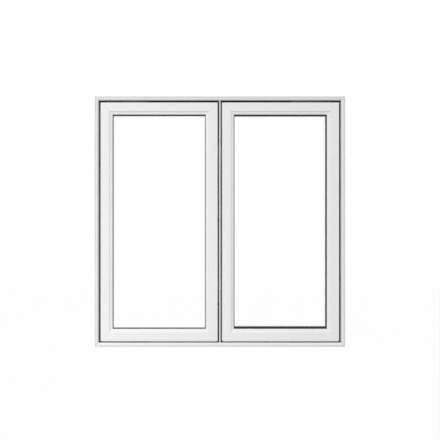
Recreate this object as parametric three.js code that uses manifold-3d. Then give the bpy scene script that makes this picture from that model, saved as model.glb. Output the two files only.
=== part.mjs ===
// A square twin casement window: a white vinyl frame with a slim centre mullion and two outward
// opening sashes, hung at the jambs on concealed slide-and-arm hinges, driven by crank operators on
// the sill and held by lever locks on the mullion. Millimetres, +Z up, +X to the right seen from
// outside; outdoors is -Y. The origin is the middle of the sill's underside.
import * as THREE from "three";
import { mergeVertices } from "three/addons/utils/BufferGeometryUtils.js";
import Module from "manifold-3d";

const wasm = await Module();
wasm.setup();

// ---------- Whole window
const windowWidth = 1219.2;
const windowHeight = 1219.2;
const windowDepth = 82.6;

// ---------- Clearances
const fitGap = 0.3; // between pieces that are fastened or seated together
const runGap = 0.4; // between pieces that turn or slide on each other

// ---------- Frame extrusion (depths are measured inwards from the outdoor face)
const wall = 2.4;
const web = 1.6;
const noseWidth = 19.5;
const noseDepth = 14;
const noseRound = 1.5;
const faceGroove = { start: 1.5, end: 6.6, side: 0.8, depth: 3.2 }; // round the frame's face
const noseBevelWidth = 7.5;
const noseBevelDepth = 6;
const cornerRound = 4;
const pocketFloor = 13;
const shelfRise = 5.4; // from the pocket floor to the underside of the back chamber's shelf
const revealGap = 9; // from the nose to the sash
const sealGap = 6; // from the sash to the stop behind it
const stopOverlap = 12;

// ---------- Centre mullion
const mullionNoseHalf = 3.4;
const mullionNoseSetback = 4;
const mullionGap = 7.6; // from the mullion's nose to either lock stile
const mullionWebHalf = 2.8;
const mullionNoseBevel = 1.2;

// ---------- Sash extrusion
const sashSetback = 4;
const sashThickness = 42;
const sashEdgeRound = 1.5;
const faceWidth = 42;
const slopeWidth = 5;
const slopeDrop = 5;
const legStep = 1.5;
const legWidth = 9;
const legDrop = 1.6;
const lipThickness = 14; // the sash's outdoor lip, which stands proud of the body behind it
const hardwareStep = 3.5; // from the lip's edge back to the body's edge
const grooveWidth = 18.6;
const grooveDepth = 3.2;
const hingeDepth = 30; // depth of the hinge line and of the middle of the hardware groove

// ---------- Glass unit
const paneThickness = 3;
const airSpace = 16;
const glassSetback = 14; // depth of the outer pane's face
const glassBite = 11.5;
const spacerShow = 2.2; // spacer seen inside the glazing leg's edge
const rebateGap = 3; // setting gap round the glass unit

// ---------- Concealed hinges
const hingeLink = 105; // support arm, pivot to pivot
const shoeInset = 6; // shoe pivot, in from the sash body's hinge edge
const pinRadius = 3;
const armThickness = 2.5;
const supportArmHalf = 7.5;
const sashArmTail = 80; // sash arm beyond the support arm's pin
const trackWidth = 22;
const trackBase = 1.5;
const trackWall = 1.6;
const trackLip = 1.6;
const trackHeight = 6.2;
const shoeLength = 34;
const noseClearance = 2.1; // between the frame's nose and the arms that pass over it
const shoeClearance = 1; // between the shoe's body and the arms above it
const armGap = 0.5; // between arms that cross
const bossRadius = 4.5;

// ---------- Crank operator
const operatorOffset = 57; // operator pivot, from the hinge's fixed pivot towards the lock side
const operatorDepth = 66;
const driveArmLength = 155.9;
const driveArmHalf = 6;
const driveArmRest = 8.5; // degrees off the sash line when shut
const linkLength = 250;
const linkHalf = 7;
const linkRest = 2; // degrees off the sash line when shut
const studPlay = 1.3; // the bracket stud's slack in the link's eye
const bracketLength = 44;
const gearTeeth = 48; // of the whole wheel that the sector is cut from
const gearTipRadius = 10;
const gearRootRadius = 8.6;
const gearThickness = 5.5;
const sectorStart = -82;
const sectorEnd = 22;
const wormRadius = 5;
const wormLength = 13;
const wormThreadDepth = 0.8;
const wormGap = 0.6;
const shaftRadius = 3.6;
const shaftTilt = 35; // degrees from upright, leaning into the room
const shaftReach = 35; // from the worm's middle to the shaft's end
const collarRadius = 8.5;
const collarEnd = 25;
const crankLength = 55;
const crankHubRadius = 8;
const crankHubLength = 12;
const crankArmThickness = 6;
const knobRadius = 8;
const knobLength = 20;
const housingHinge = 22; // casting, from the operator pivot to its hinge-side wall
const housingLock = 36; // casting, from the operator pivot to its lock-side wall
const castingWall = 2.5;
const flangeThickness = 3;
const flangeEar = 22;
const flangeRound = 6;
const domeSlope = 22; // from the worm's middle to the casting's sloped face
const domeBack = 11; // sloped face, up the slope from the shaft
const notchMargin = 4; // room at either side of the casting in the sill's notch

// ---------- Lever lock on the mullion
const lockHeight = 430;
const tieBarThickness = 1.6;
const tieBarWidth = 14;
const tieBarDepth = 22; // depth of the tie bar's outdoor edge
const tieBarBottom = 190;
const tieBarTop = 1020;
const rollerRadius = 3;
const rollerDepth = 27;
const rollerHeights = [280, 940];
const lockTravel = 22;
const leverSwing = 140; // degrees
const leverPivotProud = 5.4; // lever pivot, in front of the frame's room face
const leverThickness = 6.2;
const leverCrankThickness = 2.8;
const leverCrankGap = 0.9; // from the lever's inner crank to the tie bar's lug
const leverHubRadius = 6.5;
const leverNeck = 14;
const leverGrip = 62;
const leverGripRise = 60; // degrees above level when unlocked
const leverGripHalf = 5;
const crankPinRadius = 2;
const crankPinPlay = 1.6;
const lockWall = 1.4;
const lockProud = 13;
const lockCentreGap = 0.7; // from the mullion's middle to either escutcheon
const lockEdgeMargin = 1.4; // from the escutcheon to the mullion's side
const lockHalfHeight = 45;
const pivotStubRadius = 2.5;
const keeperLength = 60;
const keeperFlange = 36;
const keeperFlangeThickness = 3;
const keeperLead = 3; // roller to keeper when unlocked
const keeperReachGap = 0.8; // keeper to the tie bar beside it
const rollerEndGap = 1; // roller's end to the plane of the sash's edge

// ---------- Derived places
const frameLedge = noseWidth + revealGap + stopOverlap;
const sashReveal = noseWidth + revealGap;
const sashBack = sashSetback + sashThickness;
const stopDepth = sashBack + sealGap;
const sightline = faceWidth + slopeWidth + legStep + legWidth;
const glassEdge = sightline - glassBite;
const rebate = glassEdge - rebateGap;
const glassBack = glassSetback + 2 * paneThickness + airSpace;
const mullionStopHalf = mullionNoseHalf + mullionGap + stopOverlap;
const sashEdge = -(mullionNoseHalf + mullionGap); // the left sash's lock edge
const shelfTop = pocketFloor + shelfRise + web;
const notchFloor = shelfTop + fitGap;
const notchBack = windowDepth - wall - 2 * fitGap;

const yAt = (depth) => depth - windowDepth / 2;
const jambX = -windowWidth / 2;
const sashBody = sashReveal + hardwareStep;
const shoeX = jambX + sashBody + shoeInset;
const elbowX = shoeX + hingeLink;
const pivotX = elbowX + hingeLink;
const hingeY = yAt(hingeDepth);

const trackZ = pocketFloor + fitGap;
const supportArmZ = noseWidth + noseClearance;
const driveArmZ = supportArmZ + armThickness + armGap;
const linkZ = driveArmZ + armThickness + armGap;
const sashArmZ = sashBody + fitGap; // inside the sash's groove
const sashArmTop = sashArmZ + armThickness;

const round = { fine: 24, pin: 16, small: 12 };

// ---------- Solid helpers
// One closed mesh with shared vertices and its faces turned outwards.
function closed(geometry) {
  const bare = geometry.clone();
  bare.deleteAttribute("normal");
  bare.deleteAttribute("uv");
  bare.clearGroups();
  const merged = mergeVertices(bare);
  const p = merged.attributes.position.array;
  const index = merged.index.array;
  let volume = 0;
  for (let i = 0; i < index.length; i += 3) {
    const [a, b, c] = [index[i] * 3, index[i + 1] * 3, index[i + 2] * 3];
    volume +=
      p[a] * (p[b + 1] * p[c + 2] - p[b + 2] * p[c + 1]) +
      p[a + 1] * (p[b + 2] * p[c] - p[b] * p[c + 2]) +
      p[a + 2] * (p[b] * p[c + 1] - p[b + 1] * p[c]);
  }
  if (volume < 0) {
    for (let i = 0; i < index.length; i += 3) {
      [index[i + 1], index[i + 2]] = [index[i + 2], index[i + 1]];
    }
  }
  return merged;
}

function toSolid(geometry) {
  const mesh = closed(geometry);
  return new wasm.Manifold(
    new wasm.Mesh({
      numProp: 3,
      vertProperties: mesh.attributes.position.array,
      triVerts: new Uint32Array(mesh.index.array),
    }),
  );
}

function toGeometry(solid) {
  const mesh = solid.getMesh();
  const geometry = new THREE.BufferGeometry();
  geometry.setAttribute("position", new THREE.BufferAttribute(mesh.vertProperties, 3));
  geometry.setIndex(new THREE.BufferAttribute(mesh.triVerts, 1));
  return geometry;
}

const join = (first, ...rest) =>
  toGeometry(rest.reduce((sum, piece) => sum.add(toSolid(piece)), toSolid(first)));
const cut = (body, ...tools) =>
  toGeometry(tools.reduce((left, tool) => left.subtract(toSolid(tool)), toSolid(body)));

const block = (x0, x1, y0, y1, z0, z1) =>
  new THREE.BoxGeometry(x1 - x0, y1 - y0, z1 - z0).translate(
    (x0 + x1) / 2,
    (y0 + y1) / 2,
    (z0 + z1) / 2,
  );

// An upright round bar.
const post = (x, y, z0, z1, radius, sides = round.pin) =>
  new THREE.CylinderGeometry(radius, radius, z1 - z0, sides)
    .rotateX(Math.PI / 2)
    .translate(x, y, (z0 + z1) / 2);

// A round bar along X.
const pinAlongX = (x0, x1, y, z, radius, sides = round.small) =>
  new THREE.CylinderGeometry(radius, radius, Math.abs(x1 - x0), sides)
    .rotateZ(Math.PI / 2)
    .translate((x0 + x1) / 2, y, z);

// An outline from its corners, anticlockwise.
function shapeOf(points) {
  const corners = points.map(([a, b]) => new THREE.Vector2(a, b));
  return new THREE.Shape(THREE.ShapeUtils.isClockWise(corners) ? corners.reverse() : corners);
}

const rectangle = (a0, a1, b0, b1) => [
  [a0, b0],
  [a1, b0],
  [a1, b1],
  [a0, b1],
];

// Two round ends and straight sides, from the origin to (length, 0).
function strapShape(length, half, farHalf = half) {
  const shape = new THREE.Shape();
  shape.absarc(length, 0, farHalf, -Math.PI / 2, Math.PI / 2, false);
  shape.absarc(0, 0, half, Math.PI / 2, (3 * Math.PI) / 2, false);
  return shape;
}

const extrude = (shape, depth, curveSegments = 8) =>
  new THREE.ExtrudeGeometry(shape, { depth, curveSegments, steps: 1, bevelEnabled: false });

// A section drawn as (depth, height) and run along X.
const runAlongX = (points, x0, x1) =>
  extrude(shapeOf(points), x1 - x0).applyMatrix4(
    new THREE.Matrix4().set(0, 0, 1, x0, 1, 0, 0, yAt(0), 0, 1, 0, 0, 0, 0, 0, 1),
  );

// ---------- Members of a rectangular frame
// A section point is (inset from the outer edge, depth); each end is a cut that depends on the inset.
function prism(outline, startAt, endAt, place) {
  const geometry = extrude(shapeOf(outline), 1);
  const position = geometry.attributes.position;
  for (let i = 0; i < position.count; i++) {
    const inset = position.getX(i);
    const depth = position.getY(i);
    const along = position.getZ(i) < 0.5 ? startAt(inset) : endAt(inset);
    position.setXYZ(i, ...place(along, inset, depth));
  }
  return closed(geometry);
}

// A hollow extrusion: its chambers run right through and are open at both ends.
function member(outline, chambers, startAt, endAt, place) {
  const past = 1;
  const hollows = chambers.map((chamber) =>
    prism(chamber, (s) => startAt(s) - past, (s) => endAt(s) + past, place),
  );
  return cut(prism(outline, startAt, endAt, place), ...hollows);
}

// The four sides of a box, each as a length and a way to place (along, inset, depth).
function sidesOf({ left, right, bottom, top }) {
  const [width, height] = [right - left, top - bottom];
  return {
    bottom: { length: width, place: (a, s, v) => [left + a, yAt(v), bottom + s] },
    right: { length: height, place: (a, s, v) => [right - s, yAt(v), bottom + a] },
    top: { length: width, place: (a, s, v) => [right - a, yAt(v), top - s] },
    left: { length: height, place: (a, s, v) => [left + s, yAt(v), top - a] },
  };
}

// One of the four sides, mitred at both ends with half the weld's hairline at each.
function mitred(outline, chambers, side) {
  const half = (fitGap / 2) * Math.SQRT2;
  return member(
    outline,
    chambers,
    (s) => s + half,
    (s) => side.length - s - half,
    side.place,
  );
}

// A closed ring that keeps its section round all four corners.
function ring(section, { left, right, bottom, top }) {
  const corners = [
    (s) => [left + s, bottom + s],
    (s) => [right - s, bottom + s],
    (s) => [right - s, top - s],
    (s) => [left + s, top - s],
  ];
  const positions = [];
  const index = [];
  const n = section.length;
  corners.forEach((corner, c) => {
    section.forEach(([s, v], i) => {
      const [x, z] = corner(s);
      positions.push(x, yAt(v), z);
      const [a, b] = [c * n + i, c * n + ((i + 1) % n)];
      const [d, e] = [((c + 1) % 4) * n + i, ((c + 1) % 4) * n + ((i + 1) % n)];
      index.push(a, d, b, b, d, e);
    });
  });
  const geometry = new THREE.BufferGeometry();
  geometry.setAttribute("position", new THREE.Float32BufferAttribute(positions, 3));
  geometry.setIndex(index);
  return closed(geometry);
}

// A quarter round from one side of a corner to the other, as section points.
function quarterRound(cx, cy, radius, from, steps = 3) {
  return Array.from({ length: steps + 1 }, (_, i) => {
    const angle = THREE.MathUtils.degToRad(from + (90 * i) / steps);
    return [cx + radius * Math.cos(angle), cy + radius * Math.sin(angle)];
  });
}

// ---------- Frame
function frameSection() {
  const { start, end, side, depth } = faceGroove;
  const outline = [
    ...quarterRound(noseRound, noseRound, noseRound, 180, 2),
    [start, 0],
    [start + side, depth],
    [end - side, depth],
    [end, 0],
    [noseWidth - noseBevelWidth, 0],
    [noseWidth, noseBevelDepth],
    [noseWidth, noseDepth],
    [pocketFloor, noseDepth],
    [pocketFloor, stopDepth],
    [frameLedge, stopDepth],
    [frameLedge, windowDepth],
    [0, windowDepth],
  ];
  const floorIn = pocketFloor - wall;
  const backIn = windowDepth - wall;
  const middle = (noseDepth + stopDepth) / 2;
  const shelf = pocketFloor + shelfRise;
  const chambers = [
    [
      [wall, depth + wall],
      [end + 1, depth + wall],
      [end + 2, wall],
      [noseWidth - noseBevelWidth - 1, wall],
      [noseWidth - wall, noseBevelDepth + 1.5],
      [noseWidth - wall, noseDepth - wall],
      [wall, noseDepth - wall],
    ],
    rectangle(wall, floorIn, noseDepth, middle - web / 2),
    rectangle(wall, floorIn, middle + web / 2, stopDepth - web / 2),
    rectangle(wall, shelf, stopDepth + web, backIn),
    rectangle(shelfTop, frameLedge - wall, stopDepth + wall, backIn),
  ];
  return { outline, chambers };
}

// Room for the operator: its casting's notch in the ledge and the arm's slot through the stop.
function operatorCutouts(side) {
  const pivot = side * (pivotX + operatorOffset);
  const [hinge, lock] = [-housingHinge - notchMargin, housingLock + notchMargin];
  const [a, b] = side > 0 ? [hinge, lock] : [-lock, -hinge];
  const armEnd = driveArmLength * Math.cos(THREE.MathUtils.degToRad(driveArmRest));
  const [c, d] = side > 0 ? [-armEnd, 0] : [0, armEnd];
  return [
    block(pivot + a, pivot + b, yAt(stopDepth - 1), yAt(notchBack), notchFloor, frameLedge + 1),
    block(pivot + c, pivot + d, yAt(stopDepth - 1), yAt(stopDepth + wall + 1),
      supportArmZ - 2 * fitGap, sashReveal + fitGap),
  ];
}

// A frame member, its outer corners eased as they are when the weld is cleaned off.
function frameMember(section, side) {
  const [x, r, height] = [-jambX, cornerRound, windowHeight];
  const shape = new THREE.Shape();
  shape.absarc(r - x, r, r, Math.PI, 1.5 * Math.PI, false);
  shape.absarc(x - r, r, r, 1.5 * Math.PI, 2 * Math.PI, false);
  shape.absarc(x - r, height - r, r, 0, 0.5 * Math.PI, false);
  shape.absarc(r - x, height - r, r, 0.5 * Math.PI, Math.PI, false);
  const eased = extrude(shape, windowDepth + 2, 4)
    .rotateX(Math.PI / 2)
    .translate(0, yAt(windowDepth + 1), 0);
  const straight = mitred(section.outline, section.chambers, side);
  return toGeometry(toSolid(straight).intersect(toSolid(eased)));
}

// The upright post: nose, web and room-side box, coped to the head and the sill.
function mullionGeometry() {
  const half = [
    [mullionNoseHalf - mullionNoseBevel, mullionNoseSetback],
    [mullionNoseHalf, mullionNoseSetback + mullionNoseBevel],
    [mullionNoseHalf, noseDepth],
    [mullionWebHalf, noseDepth + 2],
    [mullionWebHalf, stopDepth],
    [mullionStopHalf, stopDepth],
    [mullionStopHalf, windowDepth],
  ];
  const outline = [...half, ...half.map(([x, v]) => [-x, v]).reverse()];
  const backIn = windowDepth - wall;
  const room = rectangle(web / 2, mullionStopHalf - wall, stopDepth + wall, backIn);
  const chambers = [
    room,
    room.map(([x, v]) => [-x, v]),
    rectangle(-mullionNoseHalf + web, mullionNoseHalf - web, mullionNoseSetback + wall,
      noseDepth - web),
  ];
  const full = member(
    outline,
    chambers,
    () => 0,
    () => windowHeight,
    (a, x, v) => [x, yAt(v), a],
  );
  const sillLine = [
    [-1, noseWidth + fitGap],
    [noseDepth + fitGap, noseWidth + fitGap],
    [noseDepth + fitGap, pocketFloor + fitGap],
    [stopDepth - fitGap, pocketFloor + fitGap],
    [stopDepth - fitGap, frameLedge + fitGap],
    [windowDepth + 1, frameLedge + fitGap],
  ];
  const headLine = sillLine.map(([v, z]) => [v, windowHeight - z]).reverse();
  const coping = runAlongX([...sillLine, ...headLine], -windowWidth / 4, windowWidth / 4);
  const coped = toGeometry(toSolid(full).intersect(toSolid(coping)));
  return cut(coped, ...[-1, 1].flatMap(lockCutouts));
}

// The lock's mortise in the mullion's room face and the tie bar's slot through the stop.
function lockCutouts(side) {
  const slotHalf = lockTravel + 0.5;
  const spans = [
    [web / 2 + 0.4, mullionStopHalf - wall - 0.4, windowDepth - wall - 1, windowDepth + 1,
      lockHalfHeight - 5],
    [mullionWebHalf, mullionWebHalf + tieBarThickness + 2, stopDepth - 1, stopDepth + wall + 1,
      slotHalf],
  ];
  return spans.map(([x0, x1, v0, v1, h]) => {
    const [a, b] = side > 0 ? [x0, x1] : [-x1, -x0];
    return block(a, b, yAt(v0), yAt(v1), lockHeight - h, lockHeight + h);
  });
}

// ---------- Sash
function sashSection() {
  const [front, back] = [sashSetback, sashBack];
  const slopeEnd = faceWidth + slopeWidth;
  const [grooveIn, grooveOut] = [hingeDepth - grooveWidth / 2, hingeDepth + grooveWidth / 2];
  const legBack = glassSetback - fitGap;
  const outline = [
    ...quarterRound(sashEdgeRound, front + sashEdgeRound, sashEdgeRound, 180, 2),
    [faceWidth, front],
    [slopeEnd, front + slopeDrop],
    [slopeEnd + legStep, front + slopeDrop],
    [sightline, front + slopeDrop + legDrop],
    [sightline, legBack],
    [rebate, legBack],
    [rebate, back],
    [hardwareStep, back],
    [hardwareStep, grooveOut],
    [hardwareStep + grooveDepth, grooveOut],
    [hardwareStep + grooveDepth, grooveIn],
    [hardwareStep, grooveIn],
    [hardwareStep, front + lipThickness],
    [0, front + lipThickness],
  ];
  const inner = hardwareStep + grooveDepth + wall;
  const half = (inner + rebate - wall) / 2;
  const chambers = [
    rectangle(inner, half - web / 2, front + wall, back - wall),
    rectangle(half + web / 2, rebate - wall, front + wall, back - wall),
  ];
  return { outline, chambers };
}

const sashBox = {
  left: jambX + sashReveal,
  right: sashEdge,
  bottom: sashReveal,
  top: windowHeight - sashReveal,
};

function paneGeometry(depth) {
  return block(
    sashBox.left + glassEdge,
    sashBox.right - glassEdge,
    yAt(depth),
    yAt(depth + paneThickness),
    sashBox.bottom + glassEdge,
    sashBox.top - glassEdge,
  );
}

function spacerGeometry() {
  const front = glassSetback + paneThickness + fitGap;
  const section = rectangle(glassEdge + 1, sightline + spacerShow, front, front + airSpace - 2 * fitGap);
  return ring(section, sashBox);
}

// The snap-in bead that holds the glass unit from the room side.
function beadGeometry() {
  const front = glassBack + fitGap;
  const section = [
    [rebate + fitGap, front],
    [sightline, front],
    [sightline, front + 3],
    [rebate + 5, sashBack],
    [rebate + fitGap, sashBack],
  ];
  return ring(section, sashBox);
}

// ---------- Concealed hinges, drawn at the sill
const hingePieces = {
  // A C channel that lies on the pocket floor and carries the arm's fixed pivot.
  track() {
    const half = trackWidth / 2;
    const [z0, z1] = [trackZ, trackZ + trackHeight];
    const lipZ = z1 - trackLip;
    const arm = [
      [half, z0],
      [half, z1],
      [half - trackWall - trackLip, z1],
      [half - trackWall - trackLip, lipZ],
      [half - trackWall, lipZ],
      [half - trackWall, z0 + trackBase],
    ];
    const outline = [...arm, ...arm.map(([v, z]) => [-v, z]).reverse()];
    const channel = runAlongX(
      outline.map(([v, z]) => [hingeDepth + v, z]),
      jambX + pocketFloor + 2 * fitGap,
      pivotX + trackWidth / 2,
    );
    return join(
      channel,
      post(pivotX, hingeY, trackZ + trackBase / 2, supportArmZ - runGap, bossRadius),
      post(pivotX, hingeY, trackZ + trackBase / 2, supportArmZ + armThickness - 0.2, pinRadius),
    );
  },
  supportArm() {
    const plate = extrude(strapShape(hingeLink, supportArmHalf), armThickness)
      .rotateZ(Math.PI)
      .translate(pivotX, hingeY, supportArmZ);
    const eye = post(pivotX, hingeY, supportArmZ - 1, supportArmZ + armThickness + 1, pinRadius + fitGap);
    const pin = post(elbowX, hingeY, supportArmZ + armThickness / 2, sashArmTop, pinRadius);
    return join(cut(plate, eye), pin);
  },
  shoe() {
    const inside = trackWidth / 2 - trackWall - fitGap;
    const neck = inside - trackLip;
    const z0 = trackZ + trackBase + fitGap;
    const shoulder = trackZ + trackHeight - trackLip - runGap;
    const half = [
      [inside, z0],
      [inside, shoulder],
      [neck, shoulder],
      [neck, supportArmZ - shoeClearance],
    ];
    const outline = [...half, ...half.map(([v, z]) => [-v, z]).reverse()];
    const body = runAlongX(
      outline.map(([v, z]) => [hingeDepth + v, z]),
      shoeX - shoeLength / 2,
      shoeX + shoeLength / 2,
    );
    return join(body, post(shoeX, hingeY, shoulder, sashArmTop, pinRadius));
  },
  sashArm() {
    const half = grooveWidth / 2 - 3 * fitGap;
    const shape = new THREE.Shape();
    const start = shoeX - shoeInset + fitGap;
    shape.moveTo(start, -half);
    shape.lineTo(elbowX + sashArmTail - half, -half);
    shape.absarc(elbowX + sashArmTail - half, 0, half, -Math.PI / 2, Math.PI / 2, false);
    shape.lineTo(start, half);
    const plate = extrude(shape, armThickness, 6).translate(0, hingeY, sashArmZ);
    const eyes = [shoeX, elbowX].map((x) =>
      post(x, hingeY, sashArmZ - 1, sashArmTop + 1, pinRadius + fitGap),
    );
    return cut(plate, ...eyes);
  },
};

const upsideDown = (geometry) =>
  closed(geometry.clone().scale(1, 1, -1).translate(0, 0, windowHeight));

// ---------- Crank operator
const toRadians = THREE.MathUtils.degToRad;
const operatorX = pivotX + operatorOffset;
const operatorY = yAt(operatorDepth);
const knuckle = {
  x: operatorX - driveArmLength * Math.cos(toRadians(driveArmRest)),
  y: operatorY - driveArmLength * Math.sin(toRadians(driveArmRest)),
};
const stud = {
  x: knuckle.x + linkLength * Math.cos(toRadians(linkRest)),
  y: knuckle.y - linkLength * Math.sin(toRadians(linkRest)),
};
const wormX = operatorX + gearTipRadius + wormGap + wormRadius;
// One turn of the leaning worm carries the sector on by one tooth.
const toothSpacing = (Math.PI * (gearTipRadius + gearRootRadius)) / gearTeeth;
const wormPitch = toothSpacing / Math.sin(toRadians(shaftTilt));
const wormHeight = driveArmZ + armThickness + gearThickness / 2;

// Places geometry drawn along +Z on the operator's leaning shaft, zero at the worm's middle.
const onShaft = (geometry) =>
  geometry.rotateX(-toRadians(shaftTilt)).translate(wormX, operatorY, wormHeight);

const shaftBar = (from, to, radius, sides = round.pin) =>
  new THREE.CylinderGeometry(radius, radius, to - from, sides)
    .rotateX(Math.PI / 2)
    .translate(0, 0, (from + to) / 2);

function gearSectorShape() {
  const pitch = 360 / gearTeeth;
  const shape = new THREE.Shape();
  const hub = gearRootRadius - 2;
  const at = (radius, degrees) => [
    radius * Math.cos(toRadians(degrees)),
    radius * Math.sin(toRadians(degrees)),
  ];
  shape.moveTo(...at(gearRootRadius, sectorStart));
  for (let angle = sectorStart; angle + pitch <= sectorEnd; angle += pitch) {
    shape.lineTo(...at(gearTipRadius, angle + pitch * 0.3));
    shape.lineTo(...at(gearTipRadius, angle + pitch * 0.6));
    shape.lineTo(...at(gearRootRadius, angle + pitch * 0.9));
    shape.lineTo(...at(gearRootRadius, angle + pitch));
  }
  const rest = 8;
  for (let i = 0; i <= rest; i++) {
    shape.lineTo(...at(hub, sectorEnd + ((360 - sectorEnd + sectorStart) * i) / rest));
  }
  return shape;
}

function driveArmGeometry() {
  const plate = extrude(strapShape(driveArmLength, gearRootRadius, driveArmHalf), armThickness)
    .rotateZ(Math.PI + toRadians(driveArmRest))
    .translate(operatorX, operatorY, driveArmZ);
  const sector = extrude(gearSectorShape(), gearThickness + fitGap).translate(
    operatorX,
    operatorY,
    driveArmZ + armThickness - fitGap,
  );
  const eye = post(operatorX, operatorY, driveArmZ - 1, driveArmZ + 12, pinRadius + fitGap);
  const pin = post(knuckle.x, knuckle.y, driveArmZ + armThickness / 2, linkZ + armThickness,
    pinRadius);
  return join(cut(join(plate, sector), eye), pin);
}

function linkArmGeometry() {
  const plate = extrude(strapShape(linkLength, linkHalf), armThickness)
    .rotateZ(-toRadians(linkRest))
    .translate(knuckle.x, knuckle.y, linkZ);
  const eyes = [
    post(knuckle.x, knuckle.y, linkZ - 1, linkZ + armThickness + 1, pinRadius + fitGap),
    post(stud.x, stud.y, linkZ - 1, linkZ + armThickness + 1, pinRadius + studPlay),
  ];
  return cut(plate, ...eyes);
}

// The plate in the sash's groove whose stud takes the link's eye.
function bracketGeometry() {
  const half = grooveWidth / 2 - 2 * fitGap;
  const plate = block(stud.x - bracketLength / 2, stud.x + bracketLength / 2,
    hingeY - half, hingeY + half, sashArmZ, sashArmZ + 2);
  return join(plate, post(stud.x, stud.y, linkZ, sashArmZ + 1, pinRadius));
}

// A single-start thread: a round section set off centre and twisted along the shaft.
function wormGeometry() {
  const [halfSides, stepsPerTurn] = [5, 8];
  const steps = Math.round((wormLength / wormPitch) * stepsPerTurn);
  const core = wormRadius - wormThreadDepth;
  const shape = new THREE.Shape();
  shape.absarc(wormThreadDepth, 0, core, 0, 2 * Math.PI, false);
  const geometry = new THREE.ExtrudeGeometry(shape, {
    depth: wormLength,
    steps,
    curveSegments: halfSides,
    bevelEnabled: false,
  });
  const position = geometry.attributes.position;
  const point = new THREE.Vector3();
  for (let i = 0; i < position.count; i++) {
    point.fromBufferAttribute(position, i);
    point.applyAxisAngle(new THREE.Vector3(0, 0, 1), (2 * Math.PI * point.z) / wormPitch);
    position.setXYZ(i, point.x, point.y, point.z - wormLength / 2);
  }
  return closed(geometry);
}

function wormShaftGeometry() {
  const shaft = shaftBar(wormLength / 2 - 1, shaftReach, shaftRadius);
  return onShaft(join(wormGeometry(), shaft));
}

// The die-cast body: a flange on the ledge, a box sunk in the notch and a collar round the shaft.
function operatorHousingGeometry() {
  const [x0, x1] = [operatorX - housingHinge, operatorX + housingLock];
  const [v0, v1] = [stopDepth + 3, notchBack - 2 * fitGap];
  const bottom = notchFloor + fitGap;
  const flangeZ = frameLedge + fitGap;
  const flangeTop = flangeZ + flangeThickness;
  const flange = new THREE.Shape();
  const [fx0, fx1] = [x0 - flangeEar, x1 + flangeEar];
  const [fy0, fy1] = [yAt(stopDepth + 2), yAt(windowDepth - 2)];
  flange.absarc(fx0 + flangeRound, fy0 + flangeRound, flangeRound, Math.PI, 1.5 * Math.PI, false);
  flange.absarc(fx1 - flangeRound, fy0 + flangeRound, flangeRound, 1.5 * Math.PI, 2 * Math.PI, false);
  flange.absarc(fx1 - flangeRound, fy1 - flangeRound, flangeRound, 0, 0.5 * Math.PI, false);
  flange.absarc(fx0 + flangeRound, fy1 - flangeRound, flangeRound, 0.5 * Math.PI, Math.PI, false);
  const plate = extrude(flange, flangeThickness, 4).translate(0, 0, flangeZ);
  const sunk = block(x0, x1, yAt(v0), yAt(v1), bottom, flangeZ + 1);
  // A point on the sloped face, square to the shaft, at a distance down the slope.
  const [lean, upright] = [Math.sin(toRadians(shaftTilt)), Math.cos(toRadians(shaftTilt))];
  const onSlope = (down) => [
    operatorDepth + domeSlope * lean + down * upright,
    wormHeight + domeSlope * upright - down * lean,
  ];
  const dome = runAlongX(
    [
      [v0 + 3, flangeTop - 1],
      [windowDepth - 2, flangeTop - 1],
      onSlope(4),
      onSlope(-domeBack),
      [v0 + 3, onSlope(-domeBack)[1] - 5],
    ],
    x0 + 4,
    x1 - 4,
  );
  const collar = onShaft(shaftBar(domeSlope - 2, collarEnd, collarRadius, round.fine));
  const outer = join(sunk, plate, dome, collar);
  const ceiling = flangeTop - 2 * castingWall;
  const cavity = block(x0 + castingWall, x1 - castingWall, yAt(v0 + castingWall),
    yAt(v1 - castingWall), bottom - 1, ceiling);
  const frontWindow = block(x0 + castingWall, operatorX + gearTipRadius + 1, yAt(v0 - 1),
    yAt(v0 + castingWall + 1), bottom - 1, driveArmZ + armThickness + gearThickness + 1);
  const sideWindow = block(x0 - 1, x0 + castingWall + 1, yAt(v0 - 1), yAt(operatorDepth + 7),
    bottom - 1, driveArmZ + armThickness + 0.8);
  const bore = onShaft(shaftBar(0, collarEnd + 1, shaftRadius + runGap));
  const pivot = post(operatorX, operatorY, driveArmZ, ceiling + 1, pinRadius);
  const pivotHub = post(operatorX, operatorY, driveArmZ + armThickness + gearThickness + runGap,
    ceiling + 1, pinRadius + 2.5);
  return join(cut(outer, cavity, frontWindow, sideWindow, bore), pivot, pivotHub);
}

// The handle: a hub on the shaft's end, an arm that hangs down the slope, and a knob.
function crankHandleGeometry() {
  const hubStart = collarEnd + 2 * runGap;
  const hubEnd = hubStart + crankHubLength;
  const hub = shaftBar(hubStart, hubEnd, crankHubRadius, round.fine);
  const arm = extrude(strapShape(crankLength, 7, 5.5), crankArmThickness)
    .rotateZ(Math.PI / 2)
    .translate(0, 0, hubEnd - crankArmThickness);
  const knobProfile = [
    [0, 0],
    [knobRadius * 0.55, 0],
    [knobRadius * 0.6, knobLength * 0.25],
    [knobRadius, knobLength * 0.5],
    [knobRadius, knobLength * 0.8],
    [knobRadius * 0.7, knobLength],
    [0, knobLength],
  ];
  const knob = new THREE.LatheGeometry(
    knobProfile.map(([r, h]) => new THREE.Vector2(r, h)),
    round.pin,
  )
    .rotateX(Math.PI / 2)
    .translate(0, crankLength, hubEnd - 1);
  const socket = shaftBar(hubStart - 1, shaftReach + fitGap, shaftRadius + fitGap);
  return onShaft(cut(join(hub, arm, knob), socket));
}

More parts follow.
